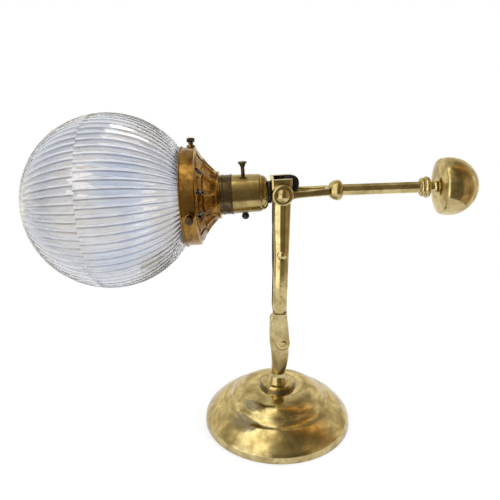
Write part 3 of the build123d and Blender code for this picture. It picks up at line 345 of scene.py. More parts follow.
@dataclass(frozen=True)
class BraidedSleeve:
    """Round flex in a braided cotton sleeve: black threads that cross, matt with a slight sheen.

    Attributes:
        name: Name of the finish.
        thread: Width of a thread, drawn coarser than the real 0.3 mm so that it shows.
        depth: Height of the weave.
        valley: Colour between the threads, darker than their backs as painted shade in the grooves.
        back: Colour on their backs.
    """

    name: str = "braided cotton sleeve"
    thread: float = 0.9
    depth: float = 0.25
    valley: str = "#050505"
    back: str = "#161412"

    def build(self) -> Material:
        """Build the material."""
        material, tree = fresh_material(self.name)
        along = add_node(tree, "TexCoord").outputs["UV"]
        turns = round(TURN * WIRE_RADIUS / (2 * self.thread))
        bands = []
        for lean in (1, -1):
            scale = (turns, lean / (2 * self.thread * MM), 1.0)
            leaning = add_node(tree, "Mapping", Vector=along, Scale=scale)
            split = add_node(tree, "SeparateXYZ", leaning).outputs
            phase = add_node(tree, "Math", split[0], split[1], operation="ADD")
            bands.append(add_node(tree, "Math", phase, 1.0, operation="PINGPONG"))
        weave = add_node(tree, "Math", *bands, operation="MAXIMUM")
        valley, back = colour(self.valley), colour(self.back)
        # The weave's grooves are painted darker than the thread backs, as painted shade.
        tint = add_node(tree, "Mix", Factor=weave, A=valley, B=back, data_type="RGBA")
        relief = add_node(tree, "Bump", Height=weave, Strength=0.8, Distance=self.depth * MM)
        cotton = add_node(
            tree, "BsdfPrincipled", Base_Color=tint, Roughness=0.6, Specular_IOR_Level=0.3, Normal=relief
        )
        add_node(tree, "OutputMaterial", Surface=cotton)
        return material


@dataclass(frozen=True)
class Dressed:
    """A plain material with a grain: mouldings, steel, felt and cast iron.

    Attributes:
        name: Name of the finish.
        light: Lighter colour of the grain.
        dark: Darker colour of the grain.
        grain: Size of the grain.
        depth: Height of the grain.
        metallic: One for metals, zero for the others.
        gloss: Least and greatest roughness.
        stretch: How much longer the grain is along each axis.
    """

    name: str
    light: str
    dark: str
    grain: float
    depth: float
    metallic: float
    gloss: Pair
    stretch: Triple = (1.0, 1.0, 1.0)

    def build(self) -> Material:
        """Build the material."""
        material, tree = fresh_material(self.name)
        place = add_node(tree, "TexCoord").outputs["Object"]
        shares = tuple(1 / share for share in self.stretch)
        laid = add_node(tree, "Mapping", Vector=place, Scale=shares)
        grain = add_node(tree, "TexNoise", Vector=laid, Scale=pitch(self.grain), Detail=4.0, Roughness=0.65)
        dark, light = colour(self.dark), colour(self.light)
        tint = add_node(tree, "Mix", Factor=grain, A=dark, B=light, data_type="RGBA")
        least, greatest = self.gloss
        rough = add_node(
            tree, "MapRange", Value=grain, From_Min=0.3, From_Max=0.7, To_Min=least, To_Max=greatest
        )
        relief = add_node(tree, "Bump", Height=grain, Strength=0.5, Distance=self.depth * MM)
        body = add_node(
            tree, "BsdfPrincipled", Base_Color=tint, Metallic=self.metallic, Roughness=rough, Normal=relief
        )
        add_node(tree, "OutputMaterial", Surface=body)
        return material


class Finish(Enum):
    """The finishes of the lamp."""

    POLISHED = Brass("hand-polished brass", "#D3C391", "#A08C5C", "#463A1E", (0.11, 0.24), 13.0)
    GALLERY = Brass("lacquered gilding brass", "#A98446", "#65421A", "#2E1C0B", (0.10, 0.21), 10.0)
    HOLDER = Brass("satin brass", "#B3A06C", "#846F43", "#3F3119", (0.17, 0.30), 12.0)
    BRONZED = Brass("bronzed brass", "#6B5B42", "#43372A", "#1D160F", (0.24, 0.38), 7.0, 0.42)
    STEEL = Dressed("turned steel", "#A5A39C", "#6E6A61", 2.0, 0.02, 1.0, (0.28, 0.42), (6.0, 6.0, 1.0))
    IRON = Dressed("black cast iron", "#2A2826", "#141312", 1.2, 0.15, 0.0, (0.55, 0.75))
    FELT = Dressed("wool felt", "#2B3A2C", "#182219", 0.8, 0.30, 0.0, (0.9, 1.0))
    MOULDING = Dressed("black phenolic moulding", "#1C1815", "#0D0B0A", 1.5, 0.01, 0.0, (0.22, 0.36))
    COPPER = Dressed("tinned copper wire", "#C98A62", "#8E5A3B", 0.6, 0.02, 1.0, (0.25, 0.4))
    SLEEVE = BraidedSleeve()
    GLASS = PressedGlass()

    def material(self) -> Material:
        """The finish's material, built at its first use."""
        return bpy.data.materials.get(self.value.name) or self.value.build()


# ---------------------------------------------------------------------------------------------
# Shapes
# ---------------------------------------------------------------------------------------------
@dataclass
class Outline:
    """An open profile in a plane, drawn with straight runs and arcs.

    Attributes:
        points: The points so far.
        step: Greatest length of a piece of an arc.
    """

    points: list[Pair]
    step: float = 1.0

    def line(self, *ends: Pair) -> "Outline":
        """Go straight to each of these points in turn."""
        self.points.extend(ends)
        return self

    def run(self, end: Pair) -> "Outline":
        """Go straight to a point in short steps, for a stretch that is shaped later."""
        start = Vector(self.points[-1])
        count = max(1, math.ceil((Vector(end) - start).length / self.step))
        self.points.extend(tuple(start.lerp(Vector(end), index / count)) for index in range(1, count + 1))
        return self

    def arc(self, end: Pair, sag: float) -> "Outline":
        """Go to a point along an arc.

        Args:
            end: The arc's last point.
            sag: Height of the arc over its chord, positive to the left of its direction.

        Returns:
            The outline itself.
        """
        start, finish = Vector(self.points[-1]), Vector(end)
        chord = finish - start
        left = Vector((-chord.y, chord.x)).normalized()
        radius = (chord.length**2 / 4 + sag**2) / (2 * abs(sag))
        side = math.copysign(1.0, sag)
        centre = (start + finish) / 2 + left * (sag - side * radius)
        begin, stop = start - centre, finish - centre
        sweep = math.atan2(begin.x * stop.y - begin.y * stop.x, begin.dot(stop))
        if abs(sag) > radius:
            sweep -= math.copysign(TURN, sweep)
        count = max(3, math.ceil(abs(sweep) * radius / self.step))
        for index in range(1, count + 1):
            turned = Matrix.Rotation(sweep * index / count, 2) @ begin
            self.points.append(tuple(centre + turned))
        return self


@dataclass(frozen=True)
class Axle:
    """A line that pieces are turned on, with stations along it and heights above it.

    Attributes:
        origin: A point of the line, where the station is zero.
        tilt: Degrees by which the line climbs towards +X.
    """

    origin: Triple
    tilt: float

    @property
    def matrix(self) -> Matrix:
        """Turns stations, depths and heights into places on the lamp."""
        return Matrix.Translation(self.origin) @ Matrix.Rotation(-math.radians(self.tilt), 4, "Y")

    def place(self, station: float, height: float, depth: float = 0.0) -> Vector:
        """A point by its station, its height over the line and its depth behind it."""
        return self.matrix @ Vector((station, depth, height))


HEAD = Axle((0.0, 0.0, PIVOT_HEIGHT), 3.6)
ROD = Axle((0.0, 0.0, PIVOT_HEIGHT - 0.5), 2.2)
STEM = Axle((0.0, 0.0, 0.0), 0.0)


def round_back(
    station: float, radius: float, start: float, end: float, count: int
) -> list[Pair]:
    """Points of a round meridian on an axle, without its first.

    Args:
        station: Station of its centre.
        radius: Its radius.
        start: First angle at the centre, from the axle's own direction.
        end: Last angle.
        count: Number of steps.

    Returns:
        Stations and radii.
    """
    angles = [start + (end - start) * index / count for index in range(1, count + 1)]
    return [
        (station + radius * math.cos(angle), max(0.0, radius * math.sin(angle))) for angle in angles
    ]


def spun(outline: Outline, upright: bool, steps: int) -> BMesh:
    """Spin an outline round its axis.

    Args:
        outline: Radii and heights for an upright axis, or stations and radii for an axle's.
        upright: True for a piece turned on Z, False for one turned on X.
        steps: Number of steps in the full turn.

    Returns:
        A closed or open skin, with its faces outwards.
    """
    mesh = bmesh.new()
    ring = [mesh.verts.new((a, 0, b)) for a, b in outline.points]
    edges = [mesh.edges.new(pair) for pair in zip(ring, ring[1:])]
    bmesh.ops.spin(
        mesh,
        geom=[*ring, *edges],
        cent=(0, 0, 0),
        axis=(0, 0, 1) if upright else (1, 0, 0),
        angle=TURN,
        steps=steps,
        use_merge=True,
    )
    bmesh.ops.remove_doubles(mesh, verts=mesh.verts, dist=WELD)
    bmesh.ops.recalc_face_normals(mesh, faces=mesh.faces)
    return mesh


def flowing(corners: Sequence[Vector]) -> list[Vector]:
    """Let a wire flow smoothly past the corners of its route.

    Args:
        corners: First point, corners and last point.

    Returns:
        Points of the wire's middle line.
    """
    data = bpy.data.curves.new("route", "CURVE")
    data.dimensions = "3D"
    data.resolution_u = WIRE_STEPS
    line = data.splines.new("NURBS")
    line.points.add(len(corners) - 1)
    for point, corner in zip(line.points, corners):
        point.co = (*corner, 1.0)
    line.order_u = 3
    line.use_endpoint_u = True
    drawn = bpy.data.objects.new("route", data)
    mesh = bpy.data.meshes.new_from_object(drawn)
    points = [vert.co.copy() for vert in mesh.vertices]
    bpy.data.objects.remove(drawn)
    bpy.data.curves.remove(data)
    bpy.data.meshes.remove(mesh)
    return points


def arm_copy(node: str) -> BMesh:
    """Copy a CAD node of the arm, merged, into millimetres along the lampholder's axle.

    Args:
        node: Name of the node.

    Returns:
        The copy.
    """
    mesh = bmesh.new()
    mesh.from_mesh(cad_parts[node].data)
    mesh.transform(HEAD.matrix.inverted() @ Matrix.Scale(1 / MM, 4))
    bmesh.ops.remove_doubles(mesh, verts=mesh.verts, dist=WELD)
    return mesh


def tube(route: Sequence[Vector], radius: float, sides: int = 28) -> BMesh:
    """Draw a round section along a route, with a UV map in turns and metres.

    Args:
        route: Points of the middle line.
        radius: Radius of the section.
        sides: Number of sides of the section.

    Returns:
        A closed tube.
    """
    last = len(route) - 1
    heading = (route[1] - route[0]).normalized()
    across = heading.orthogonal().normalized()
    travelled, rows = 0.0, []
    for index, here in enumerate(route):
        before, after = route[max(index - 1, 0)], route[min(index + 1, last)]
        course = (after - before).normalized()
        across = heading.rotation_difference(course) @ across
        heading = course
        travelled += (here - before).length
        rows.append((here, across, heading.cross(across), travelled))
    mesh = bmesh.new()
    bmesh.ops.create_grid(mesh, x_segments=sides, y_segments=last, size=0.5)
    uv = mesh.loops.layers.uv.new("UVMap")
    for vert in mesh.verts:
        turn = vert.co.x + 0.5
        here, across, upwards, travelled = rows[round((vert.co.y + 0.5) * last)]
        for loop in vert.link_loops:
            loop[uv].uv = (turn, travelled * MM)
        vert.co = here + (across * math.cos(TURN * turn) + upwards * math.sin(TURN * turn)) * radius
    bmesh.ops.remove_doubles(mesh, verts=mesh.verts, dist=WELD)
    bmesh.ops.holes_fill(mesh, edges=[edge for edge in mesh.edges if edge.is_boundary], sides=0)
    bmesh.ops.recalc_face_normals(mesh, faces=mesh.faces)
    return mesh


@dataclass
class Piece:
    """A finished piece on its way into the scene.

    Attributes:
        name: Name of the object.
        mesh: Its shape, in millimetres.
        finish: Its finish.
        seat: Places the shape on the lamp.
        crease: Angle in degrees beyond which an edge stays sharp.
    """

    name: str
    mesh: BMesh
    finish: Finish
    seat: Axle = STEM
    crease: float = 35.0

    def object(self) -> Object:
        """Turn the piece into an object at the origin, in metres, smooth but for its creases."""
        self.mesh.transform(Matrix.Scale(MM, 4) @ self.seat.matrix)
        for edge in self.mesh.edges:
            sharp = edge.is_manifold and edge.calc_face_angle(0.0) > math.radians(self.crease)
            edge.smooth = not sharp
        for face in self.mesh.faces:
            face.smooth = True
        data = bpy.data.meshes.new(self.name)
        self.mesh.to_mesh(data)
        self.mesh.free()
        data.materials.append(self.finish.material())
        made = bpy.data.objects.new(self.name, data)
        bpy.context.scene.collection.objects.link(made)
        return made

    def on(self, body: str, *nodes: str) -> Object:
        """Put the piece on a body, in place of CAD nodes.

        Args:
            body: Body that it moves with.
            nodes: CAD nodes that it stands for.

        Returns:
            The object.
        """
        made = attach(self.object(), body)
        if nodes:
            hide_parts(*nodes)
        log.info("%s: %d faces on %s, for %s", self.name, len(made.data.polygons), body, ", ".join(nodes))
        return made

    def across(self, bodies: tuple[str, str], ends: tuple[Vector, Vector], *nodes: str) -> Object:
        """Put the piece in place of CAD nodes, on no body.

        Args:
            bodies: The body at its first end and the one at its last.
            ends: Its first and last point; not used.
            nodes: CAD nodes that it stands for.

        Returns:
            The object.
        """
        made = self.object()
        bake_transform(made)
        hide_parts(*nodes)
        log.info("%s bends between %s and %s", self.name, *bodies)
        return made


def dress(finish: Finish, *nodes: str) -> None:
    """Give CAD nodes a finish.

    Args:
        finish: The finish.
        nodes: Names of the nodes.
    """
    for name in nodes:
        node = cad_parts[name]
        node.data.materials.clear()
        node.data.materials.append(finish.material())
        log.info("%s: dressed in %s", name, finish.value.name)


# ---------------------------------------------------------------------------------------------
# Base and foot
# ---------------------------------------------------------------------------------------------
@dataclass
class Base:
    """Round spun base with its weight, felt, outlet and terminal block.

    The outline runs from the hole over the flat top, the dome, a shallow hollow and the skirt to
    the rim; its corners are radii and heights, and each sag is an arc's height over its chord.
    """

    radius: float = 70.4
    height: float = 37.5
    wall: float = 1.6
    rim_lift: float = 0.4
    rim_height: float = 2.8
    round_top: Pair = (67.8, 9.8)
    skirt_top: Pair = (52.0, 22.6)
    dome_edge: Pair = (43.0, 29.6)
    dome_sag: float = 2.75
    hollow_sag: float = -1.1
    skirt_sag: float = 0.9
    rim_sag: float = 0.75
    flat_radius: float = 18.5
    hole_radius: float = 6.55
    steps: int = 240

    def shell(self) -> BMesh:
        """The spun shell, of one wall all over."""
        outer = Outline([(self.hole_radius, self.height)]).line((self.flat_radius, self.height))
        outer.arc(self.dome_edge, self.dome_sag).arc(self.skirt_top, self.hollow_sag)
        outer.arc(self.round_top, self.skirt_sag)
        outer.arc((self.radius, self.rim_height), self.rim_sag).line((self.radius, self.rim_lift))
        mesh = spun(outer, upright=True, steps=self.steps)
        bmesh.ops.solidify(mesh, geom=mesh.faces[:], thickness=self.wall)
        bmesh.ops.recalc_face_normals(mesh, faces=mesh.faces)
        return mesh

    def build(self) -> None:
        """Build the base."""
        Piece("base_skin", self.shell(), Finish.POLISHED).on("base", "base_shell")
        dress(Finish.POLISHED, "cord_bush")
        dress(Finish.FELT, "base_felt")
        dress(Finish.IRON, "base_weight")
        dress(Finish.MOULDING, "terminal_block")
        dress(Finish.STEEL, "foot_washer", "foot_nut")


@dataclass
class Foot:
    """Turned foot with its knuckle."""

    def build(self) -> None:
        """Build the foot."""
        dress(Finish.POLISHED, "foot", "knuckle_screws")
        dress(Finish.STEEL, "knuckle_washers")


# ---------------------------------------------------------------------------------------------
# Stem and arm
# ---------------------------------------------------------------------------------------------
@dataclass
class Stem:
    """Two bars with their tie."""

    def build(self) -> None:
        """Build the stem."""
        dress(Finish.POLISHED, "stem_front_bar", "stem_back_bar", "stem_tie")


@dataclass
class Arm:
    """Yoke, pins, rod side and ball weight."""

    collar_end: float = 127.6
    neck_radius: float = 4.9
    neck_round: float = 2.6
    neck_sag: float = -0.85
    neck_sink: float = 0.35
    ball_radius: float = 25.0
    ball_station: float = 144.0
    face_station: float = 136.0
    face_crown: float = 3.0
    face_sag: float = 0.8824
    edge_round: float = 2.4
    edge_sag: float = 0.62
    edge_sink: float = 0.3
    edge_turn: float = 0.075
    ball_steps: int = 72
    prong_start: float = 9.4
    prong_end: float = 36.8
    prong_middle: float = -1.6
    prong_round: float = 1.35
    prong_bow: float = 0.7
    prong_waist: float = 0.16
    prong_cuts: int = 12
    steps: int = 144

    def ball(self) -> BMesh:
        """The ball weight: a neck, a crowned face with a soft edge, and the ball."""
        face_radius = math.sqrt(self.ball_radius**2 - (self.ball_station - self.face_station) ** 2)
        foot = self.face_station - self.face_crown
        outline = Outline([(self.collar_end, 0.0), (self.collar_end, self.neck_radius)], step=0.6)
        outline.line((foot - self.neck_round, self.neck_radius))
        outline.arc((foot + self.neck_sink, self.neck_radius + self.neck_round), self.neck_sag)
        outline.arc((self.face_station - self.edge_sink, face_radius - self.edge_round), self.face_sag)
        turn = math.atan2(face_radius, self.face_station - self.ball_station) - self.edge_turn
        ball = Vector((math.cos(turn), math.sin(turn))) * self.ball_radius
        outline.arc((self.ball_station + ball.x, ball.y), self.edge_sag)
        outline.line(*round_back(self.ball_station, self.ball_radius, turn, 0.0, self.ball_steps))
        return spun(outline, upright=False, steps=self.steps)

    def yoke(self) -> BMesh:
        """The yoke, its two prongs filed round along their edges and bowed a little."""
        mesh = arm_copy("arm_yoke")
        bmesh.ops.dissolve_limit(mesh, angle_limit=math.radians(1.0), verts=mesh.verts, edges=mesh.edges)
        span = self.prong_end - self.prong_start
        for step in range(self.prong_cuts):
            cut = (self.prong_start + span * (step + 0.5) / self.prong_cuts, 0, 0)
            whole = [*mesh.verts, *mesh.edges, *mesh.faces]
            bmesh.ops.bisect_plane(mesh, geom=whole, plane_co=cut, plane_no=(1, 0, 0))
        long_edges = [
            edge
            for edge in mesh.edges
            if min(vert.co.x for vert in edge.verts) > self.prong_start
            and edge.is_manifold
            and edge.calc_face_angle(0.0) > math.radians(60)
            and abs(edge.verts[0].co.x - edge.verts[1].co.x) > 0.9 * edge.calc_length()
        ]
        bmesh.ops.bevel(
            mesh, geom=long_edges, offset=self.prong_round, segments=4, profile=0.5, affect="EDGES"
        )
        for vert in mesh.verts:
            swell = math.sin(math.pi * clamped((vert.co.x - self.prong_start) / span))
            vert.co.y += math.copysign(self.prong_bow * swell, vert.co.y)
            vert.co.z += (self.prong_middle - vert.co.z) * self.prong_waist * swell
        return mesh

    def build(self) -> None:
        """Build the arm's pieces beside the lampholder."""
        Piece("yoke_casting", self.yoke(), Finish.POLISHED, HEAD, crease=38.0).on("arm", "arm_yoke")
        Piece("ball_skin", self.ball(), Finish.POLISHED, ROD).on("arm", "ball_weight")
        dress(Finish.POLISHED, "pivot_pins", "baluster", "arm_rod", "rod_collar")
        dress(Finish.STEEL, "pivot_washers")


@dataclass
class Lampholder:
    """Bayonet lampholder with its switch bar, contacts and shade rings."""

    spring_end: float = -35.8
    spring_length: float = 7.1
    contact_travel: float = 3.3

    def spring(self, side: str) -> None:
        """Put a copy of a contact's spring on the arm, in a mesh of its own.

        Args:
            side: Front or rear.
        """
        node = f"contact_spring_{side}"
        coil = Piece(f"coil_{side}", arm_copy(node), Finish.STEEL, HEAD, crease=60.0).on("arm", node)
        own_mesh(coil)

    def build(self) -> None:
        """Build the lampholder."""
        self.spring("front")
        self.spring("rear")
        dress(Finish.HOLDER, "holder_cap", "holder_body", "holder_skirt", "bayonet_barrel")
        dress(Finish.HOLDER, "contact_plunger_front", "contact_plunger_rear")
        dress(Finish.BRONZED, "entry_nipple", "shade_ring_rear", "shade_ring_front", "inner_shade_ring")
        dress(Finish.BRONZED, "switch_bar")
        dress(Finish.MOULDING, "insulating_ring", "contact_block", "switch_tip")
        dress(Finish.COPPER, "core_wires")


# ---------------------------------------------------------------------------------------------
# Gallery and globe
# ---------------------------------------------------------------------------------------------
@dataclass
class Gallery:
    """Spun gallery with pressed petals, vents between them, a rolled rim and three screws.

    A petal is a rounded scoop that opens at the collar and has a raised edge. A vent is a slot,
    given by the station and the radius of its two round ends.
    """

    plate: Pair = (-53.4, 15.9)
    collar_radius: float = 20.2
    collar_end: float = -55.5
    collar_sag: float = -0.45
    cone_end: Pair = (-70.0, 38.4)
    cone_sag: float = 1.27
    band_radius: float = 42.4
    step_station: float = -72.2
    rim: float = -85.0
    step_sag: float = 0.45
    roll_start: float = 1.79
    roll_end: float = 0.11
    roll_sag: float = -1.4
    corner: float = 0.3
    wall: float = 0.9
    petals: int = 12
    first_ridge: float = 12.0
    petal_start: float = -56.4
    petal_end: float = -66.6
    petal_corner: float = 3.4
    petal_gap: float = 0.45
    petal_bluntness: float = 1.3
    petal_opening: float = 2.6
    press: float = 1.6
    press_curve: float = 2.2
    edge_height: float = 0.35
    edge_width: float = 0.6
    vent_near: Pair = (-65.4, 0.75)
    vent_far: Pair = (-69.0, 1.85)
    vent_border: float = 0.9
    vent_passes: int = 3
    screw_station: float = -77.0
    screw_angles: Triple = (110.0, -10.0, -130.0)
    boss_radius: float = 3.8
    boss_bore: float = 1.75
    boss_top: float = 44.6
    screw_tip: float = 37.9
    screw_radius: float = 1.6
    neck_radius: float = 2.1
    head_base: float = 47.6
    head_top: float = 51.0
    head_radius: float = 3.5
    knurls: int = 26
    knurl_depth: float = 0.34
    knurl_width: float = 0.8
    steps: int = 432

    def outline(self) -> Outline:
        """Outer side of the sheet, from its plate to its rolled rim."""
        start, radius = self.plate[0], self.collar_radius
        sheet = Outline([self.plate], step=0.55)
        sheet.line((start, radius - self.corner), (start - self.corner, radius))
        sheet.arc((start - 4 * self.corner, radius), self.collar_sag)
        sheet.arc((self.collar_end, radius), self.collar_sag).arc(self.cone_end, self.cone_sag)
        sheet.arc((self.step_station, self.band_radius), self.step_sag)
        sheet.run((self.rim + self.roll_start, self.band_radius))
        return sheet.arc((self.rim + self.roll_end, self.band_radius), self.roll_sag)

    def petal_depth(self, station: float, radius: float, turn: float) -> float:
        """How far the sheet is pressed in at a place of the cone, less than zero on a petal's edge.

        Args:
            station: Station of the place.
            radius: Its radius.
            turn: Angle in turns from the middle of its petal.

        Returns:
            Depth in millimetres.
        """
        corner = self.petal_corner
        from_side = (1 / (2 * self.petals) - abs(turn)) * TURN * radius - self.petal_gap
        from_end = (station - self.petal_end) * self.petal_bluntness
        inside = corner - math.hypot(max(0.0, corner - from_side), max(0.0, corner - from_end))
        opening = clamped((self.petal_start - station) / self.petal_opening)
        pressed = (1 - (1 - clamped(inside / corner)) ** self.press_curve) * self.press
        raised = self.edge_height * math.exp(-((inside / self.edge_width) ** 2))
        return (pressed - raised) * opening

    def turn_at(self, place: Vector) -> float:
        """Angle of a place in turns, from the first ridge between two petals."""
        return math.atan2(place.z, -place.y) / TURN - (90.0 - self.first_ridge) / 360.0

    def sheet(self) -> BMesh:
        """The pressed sheet with its vents cut out."""
        mesh = spun(self.outline(), upright=False, steps=self.steps)
        mesh.normal_update()
        spacing = 1 / self.petals
        for vert in mesh.verts:
            station, radius = vert.co.x, math.hypot(vert.co.y, vert.co.z)
            if self.cone_end[0] - 0.4 < station < self.petal_start:
                off_middle = self.turn_at(vert.co) % spacing - spacing / 2
                vert.co -= vert.normal * self.petal_depth(station, radius, off_middle)
        holes = [face for face in mesh.faces if self.vent_gap(face.calc_center_median()) < 0]
        bmesh.ops.delete(mesh, geom=holes, context="FACES")
        rims = [vert for vert in mesh.verts if vert.is_boundary]
        ragged = [vert for vert in rims if self.vent_gap(vert.co) < self.vent_border]
        axes = {"use_axis_x": True, "use_axis_y": True, "use_axis_z": True}
        for _ in range(self.vent_passes):
            bmesh.ops.smooth_vert(mesh, verts=ragged, factor=0.5, **axes)
        bmesh.ops.solidify(mesh, geom=mesh.faces[:], thickness=self.wall)
        bmesh.ops.recalc_face_normals(mesh, faces=mesh.faces)
        return mesh

    def vent_gap(self, place: Vector) -> float:
        """Distance from a place of the sheet to the nearest vent, less than zero inside it."""
        spacing = 1 / self.petals
        turn = (self.turn_at(place) + spacing / 2) % spacing - spacing / 2
        aside = turn * TURN * math.hypot(place.y, place.z)
        near, far = Vector(self.vent_near), Vector(self.vent_far)
        slot = near.lerp(far, clamped((place.x - near.x) / (far.x - near.x)))
        return math.hypot(place.x - slot.x, aside) - slot.y

    def boss(self, angle: float) -> BMesh:
        """A turned boss under one screw.

        Args:
            angle: Its angle in degrees, from the front towards the top.

        Returns:
            A closed ring.
        """
        ring = Outline([(self.boss_bore, self.band_radius - 0.5)], step=0.25)
        ring.line((self.boss_radius + 0.5, self.band_radius - 0.5))
        ring.arc((self.boss_radius, self.band_radius + 0.4), 0.12)
        ring.line((self.boss_radius, self.boss_top - 0.5))
        ring.arc((self.boss_radius - 0.5, self.boss_top), -0.15)
        ring.line((self.boss_bore, self.boss_top), (self.boss_bore, self.band_radius - 0.5))
        mesh = spun(ring, upright=True, steps=48)
        mesh.transform(self.spoke(angle))
        return mesh

    def spoke(self, angle: float) -> Matrix:
        """Turns an upright piece to a screw's place and direction."""
        lean = Matrix.Rotation(math.radians(90.0 - angle), 4, "X")
        return Matrix.Translation((self.screw_station, 0, 0)) @ lean

    def screw(self, angle: float) -> BMesh:
        """A thumbscrew with a knurled head.

        Args:
            angle: Its angle in degrees, from the front towards the top.

        Returns:
            A closed solid.
        """
        seat, grip = self.boss_top + 0.3, self.head_radius
        turned = Outline([(0.0, self.screw_tip)], step=0.2)
        turned.line((self.screw_radius - 0.3, self.screw_tip), (self.screw_radius, self.screw_tip + 0.3))
        turned.line((self.screw_radius, seat), (self.neck_radius, seat))
        turned.line((self.neck_radius, self.head_base - 0.3), (self.neck_radius + 0.3, self.head_base))
        turned.line((grip - 0.7, self.head_base)).arc((grip, self.head_base + 0.7), -0.2)
        turned.run((grip, self.head_top - 0.9)).arc((grip - 0.9, self.head_top), -0.26)
        turned.line((1.1, self.head_top)).arc((0.0, self.head_top - 0.35), 0.1)
        mesh = spun(turned, upright=True, steps=self.knurls * 6)
        for vert in mesh.verts:
            radius = math.hypot(vert.co.x, vert.co.y)
            share = max(0.0, 1 - (grip - radius) / self.knurl_width)
            if share > 0:
                wave = 0.5 + 0.5 * math.cos(math.atan2(vert.co.y, vert.co.x) * self.knurls)
                vert.co.xy *= 1 - self.knurl_depth * wave * share / radius
        mesh.transform(self.spoke(angle))
        return mesh

    def build(self) -> None:
        """Build the gallery."""
        Piece("gallery_sheet", self.sheet(), Finish.GALLERY, HEAD, crease=32.0).on("arm", "gallery")
        for name, angle in zip(("upper", "front", "rear"), self.screw_angles):
            Piece(f"screw_boss_{name}", self.boss(angle), Finish.GALLERY, HEAD).on("arm")
            thumbscrew = Piece(f"thumbscrew_{name}", self.screw(angle), Finish.BRONZED, HEAD, crease=28.0)
            thumbscrew.on(f"screw_{name}", f"gallery_screw_{name}")


@dataclass
class Globe:
    """Pressed glass globe with ribs along its meridians and a seam round its middle."""

    radius: float = 75.6
    station: float = GLOBE_STATION
    wall: float = 2.6
    neck_radius: float = 36.0
    waist_radius: float = 37.6
    waist_start: float = -79.0
    lip_start: float = -75.1
    lip_end: float = -72.7
    lip_radius: float = 40.9
    rib_depth: float = 0.75
    steps_per_rib: int = 8
    rings: int = 64
    pole_fade: float = 22.0
    seam_width: float = 1.6
    seam_fade: float = 1.5

    def outline(self) -> Outline:
        """Outer skin, lip, bore and inner skin, from pole to pole."""
        outer = Outline([(self.station - self.radius, 0.0)])
        edge = math.atan2(self.neck_radius, math.sqrt(self.radius**2 - self.neck_radius**2))
        outer.line(*round_back(self.station, self.radius, math.pi, edge, self.rings))
        outer.line((self.waist_start, self.waist_radius), (self.lip_start, self.waist_radius))
        outer.arc((self.lip_start + 0.6, self.lip_radius), 0.3)
        outer.line((self.lip_end - 0.6, self.lip_radius))
        outer.arc((self.lip_end, self.lip_radius - 0.6), 0.2)
        bore, inner = self.neck_radius - self.wall, self.radius - self.wall
        outer.line((self.lip_end, bore))
        edge = math.atan2(bore, math.sqrt(inner**2 - bore**2))
        outer.line((self.station + inner * math.cos(edge), bore))
        outer.line(*round_back(self.station, inner, edge, math.pi, self.rings // 2))
        return outer

    def rib(self, mesh: BMesh) -> None:
        """Press the ribs into the outer skin: round backs, sharp valleys, half a rib apart at the seam.

        Args:
            mesh: The globe, which is changed.
        """
        for vert in mesh.verts:
            reach = Vector((vert.co.x - self.station, vert.co.y, vert.co.z))
            if abs(reach.length - self.radius) > 0.2:
                continue
            around = math.atan2(reach.z, reach.y) / TURN * RIBS + (0.5 if reach.x < SEAM else 0.0)
            back = abs(math.sin(math.pi * around))
            past_seam = clamped((abs(reach.x - SEAM) - self.seam_width / 2) / self.seam_fade)
            fade = clamped(math.hypot(reach.y, reach.z) / self.pole_fade) * past_seam
            vert.co -= reach.normalized() * self.rib_depth * (1 - back) * fade

    def build(self) -> None:
        """Build the globe."""
        mesh = spun(self.outline(), upright=False, steps=RIBS * self.steps_per_rib)
        self.rib(mesh)
        Piece("globe_glass", mesh, Finish.GLASS, HEAD, crease=50.0).on("arm", "globe")


# ---------------------------------------------------------------------------------------------
# Wire
# ---------------------------------------------------------------------------------------------
@dataclass
class Wire:
    """Black flex, from the lampholder through the yoke, down between the bars and into the base."""

    nipple_station: float = -17.9
    loop: tuple[Pair, ...] = (
        (-3.5, 0.0),
        (1.8, 8.6),
        (8.2, 12.4),
        (13.9, 8.0),
        (10.6, 0.0),
    )
    under_drop: float = 5.0
    side: float = -5.2
    side_drop: float = 20.5
    stem_drop: float = 27.5
    tongue_top: float = 110.0
    side_rise: float = 40.0
    middle_rise: float = 24.0
    knuckle_length: float = 12.0
    floor: float = 5.6
    terminal: float = 27.0

    def stretch(self, name: str, route: Sequence[Vector]) -> Piece:
        """A stretch of the wire along a route."""
        return Piece(name, tube(flowing(route), WIRE_RADIUS), Finish.SLEEVE, crease=60.0)

    def build(self) -> None:
        """Build the wire."""
        head = [HEAD.place(self.nipple_station, 0)] + [HEAD.place(*corner) for corner in self.loop]
        falling = (head[-1] - head[-2]).normalized()
        bend = head[-1] + falling * ((PIVOT_HEIGHT - self.under_drop - head[-1].z) / falling.z)
        top = [
            head[-1],
            bend,
            Vector((self.side, 0, PIVOT_HEIGHT - self.side_drop)),
            Vector((self.side, 0, PIVOT_HEIGHT - self.stem_drop)),
        ]
        stem = [
            top[-1],
            Vector((self.side, 0, self.tongue_top + self.side_rise)),
            Vector((0, 0, self.tongue_top + self.middle_rise)),
            Vector((0, 0, self.tongue_top + self.knuckle_length)),
        ]
        knuckle = [stem[-1].lerp(Vector((0, 0, self.tongue_top)), share) for share in (0, 0.33, 0.67, 1)]
        foot = [knuckle[-1], Vector((0, 0, self.floor)), Vector((0, self.terminal, self.floor))]
        self.stretch("flex_in_arm", head).on("arm", "flex_head")
        self.stretch("flex_under_pivot", top).across(("arm", "stem"), (top[0], top[-1]), "flex_top_bend")
        self.stretch("flex_in_stem", stem).on("stem", "flex_stem")
        self.stretch("flex_over_knuckle", knuckle).across(
            ("stem", "base"), (knuckle[0], knuckle[-1]), "flex_foot_bend"
        )
        self.stretch("flex_in_foot", foot).on("base", "flex_foot")


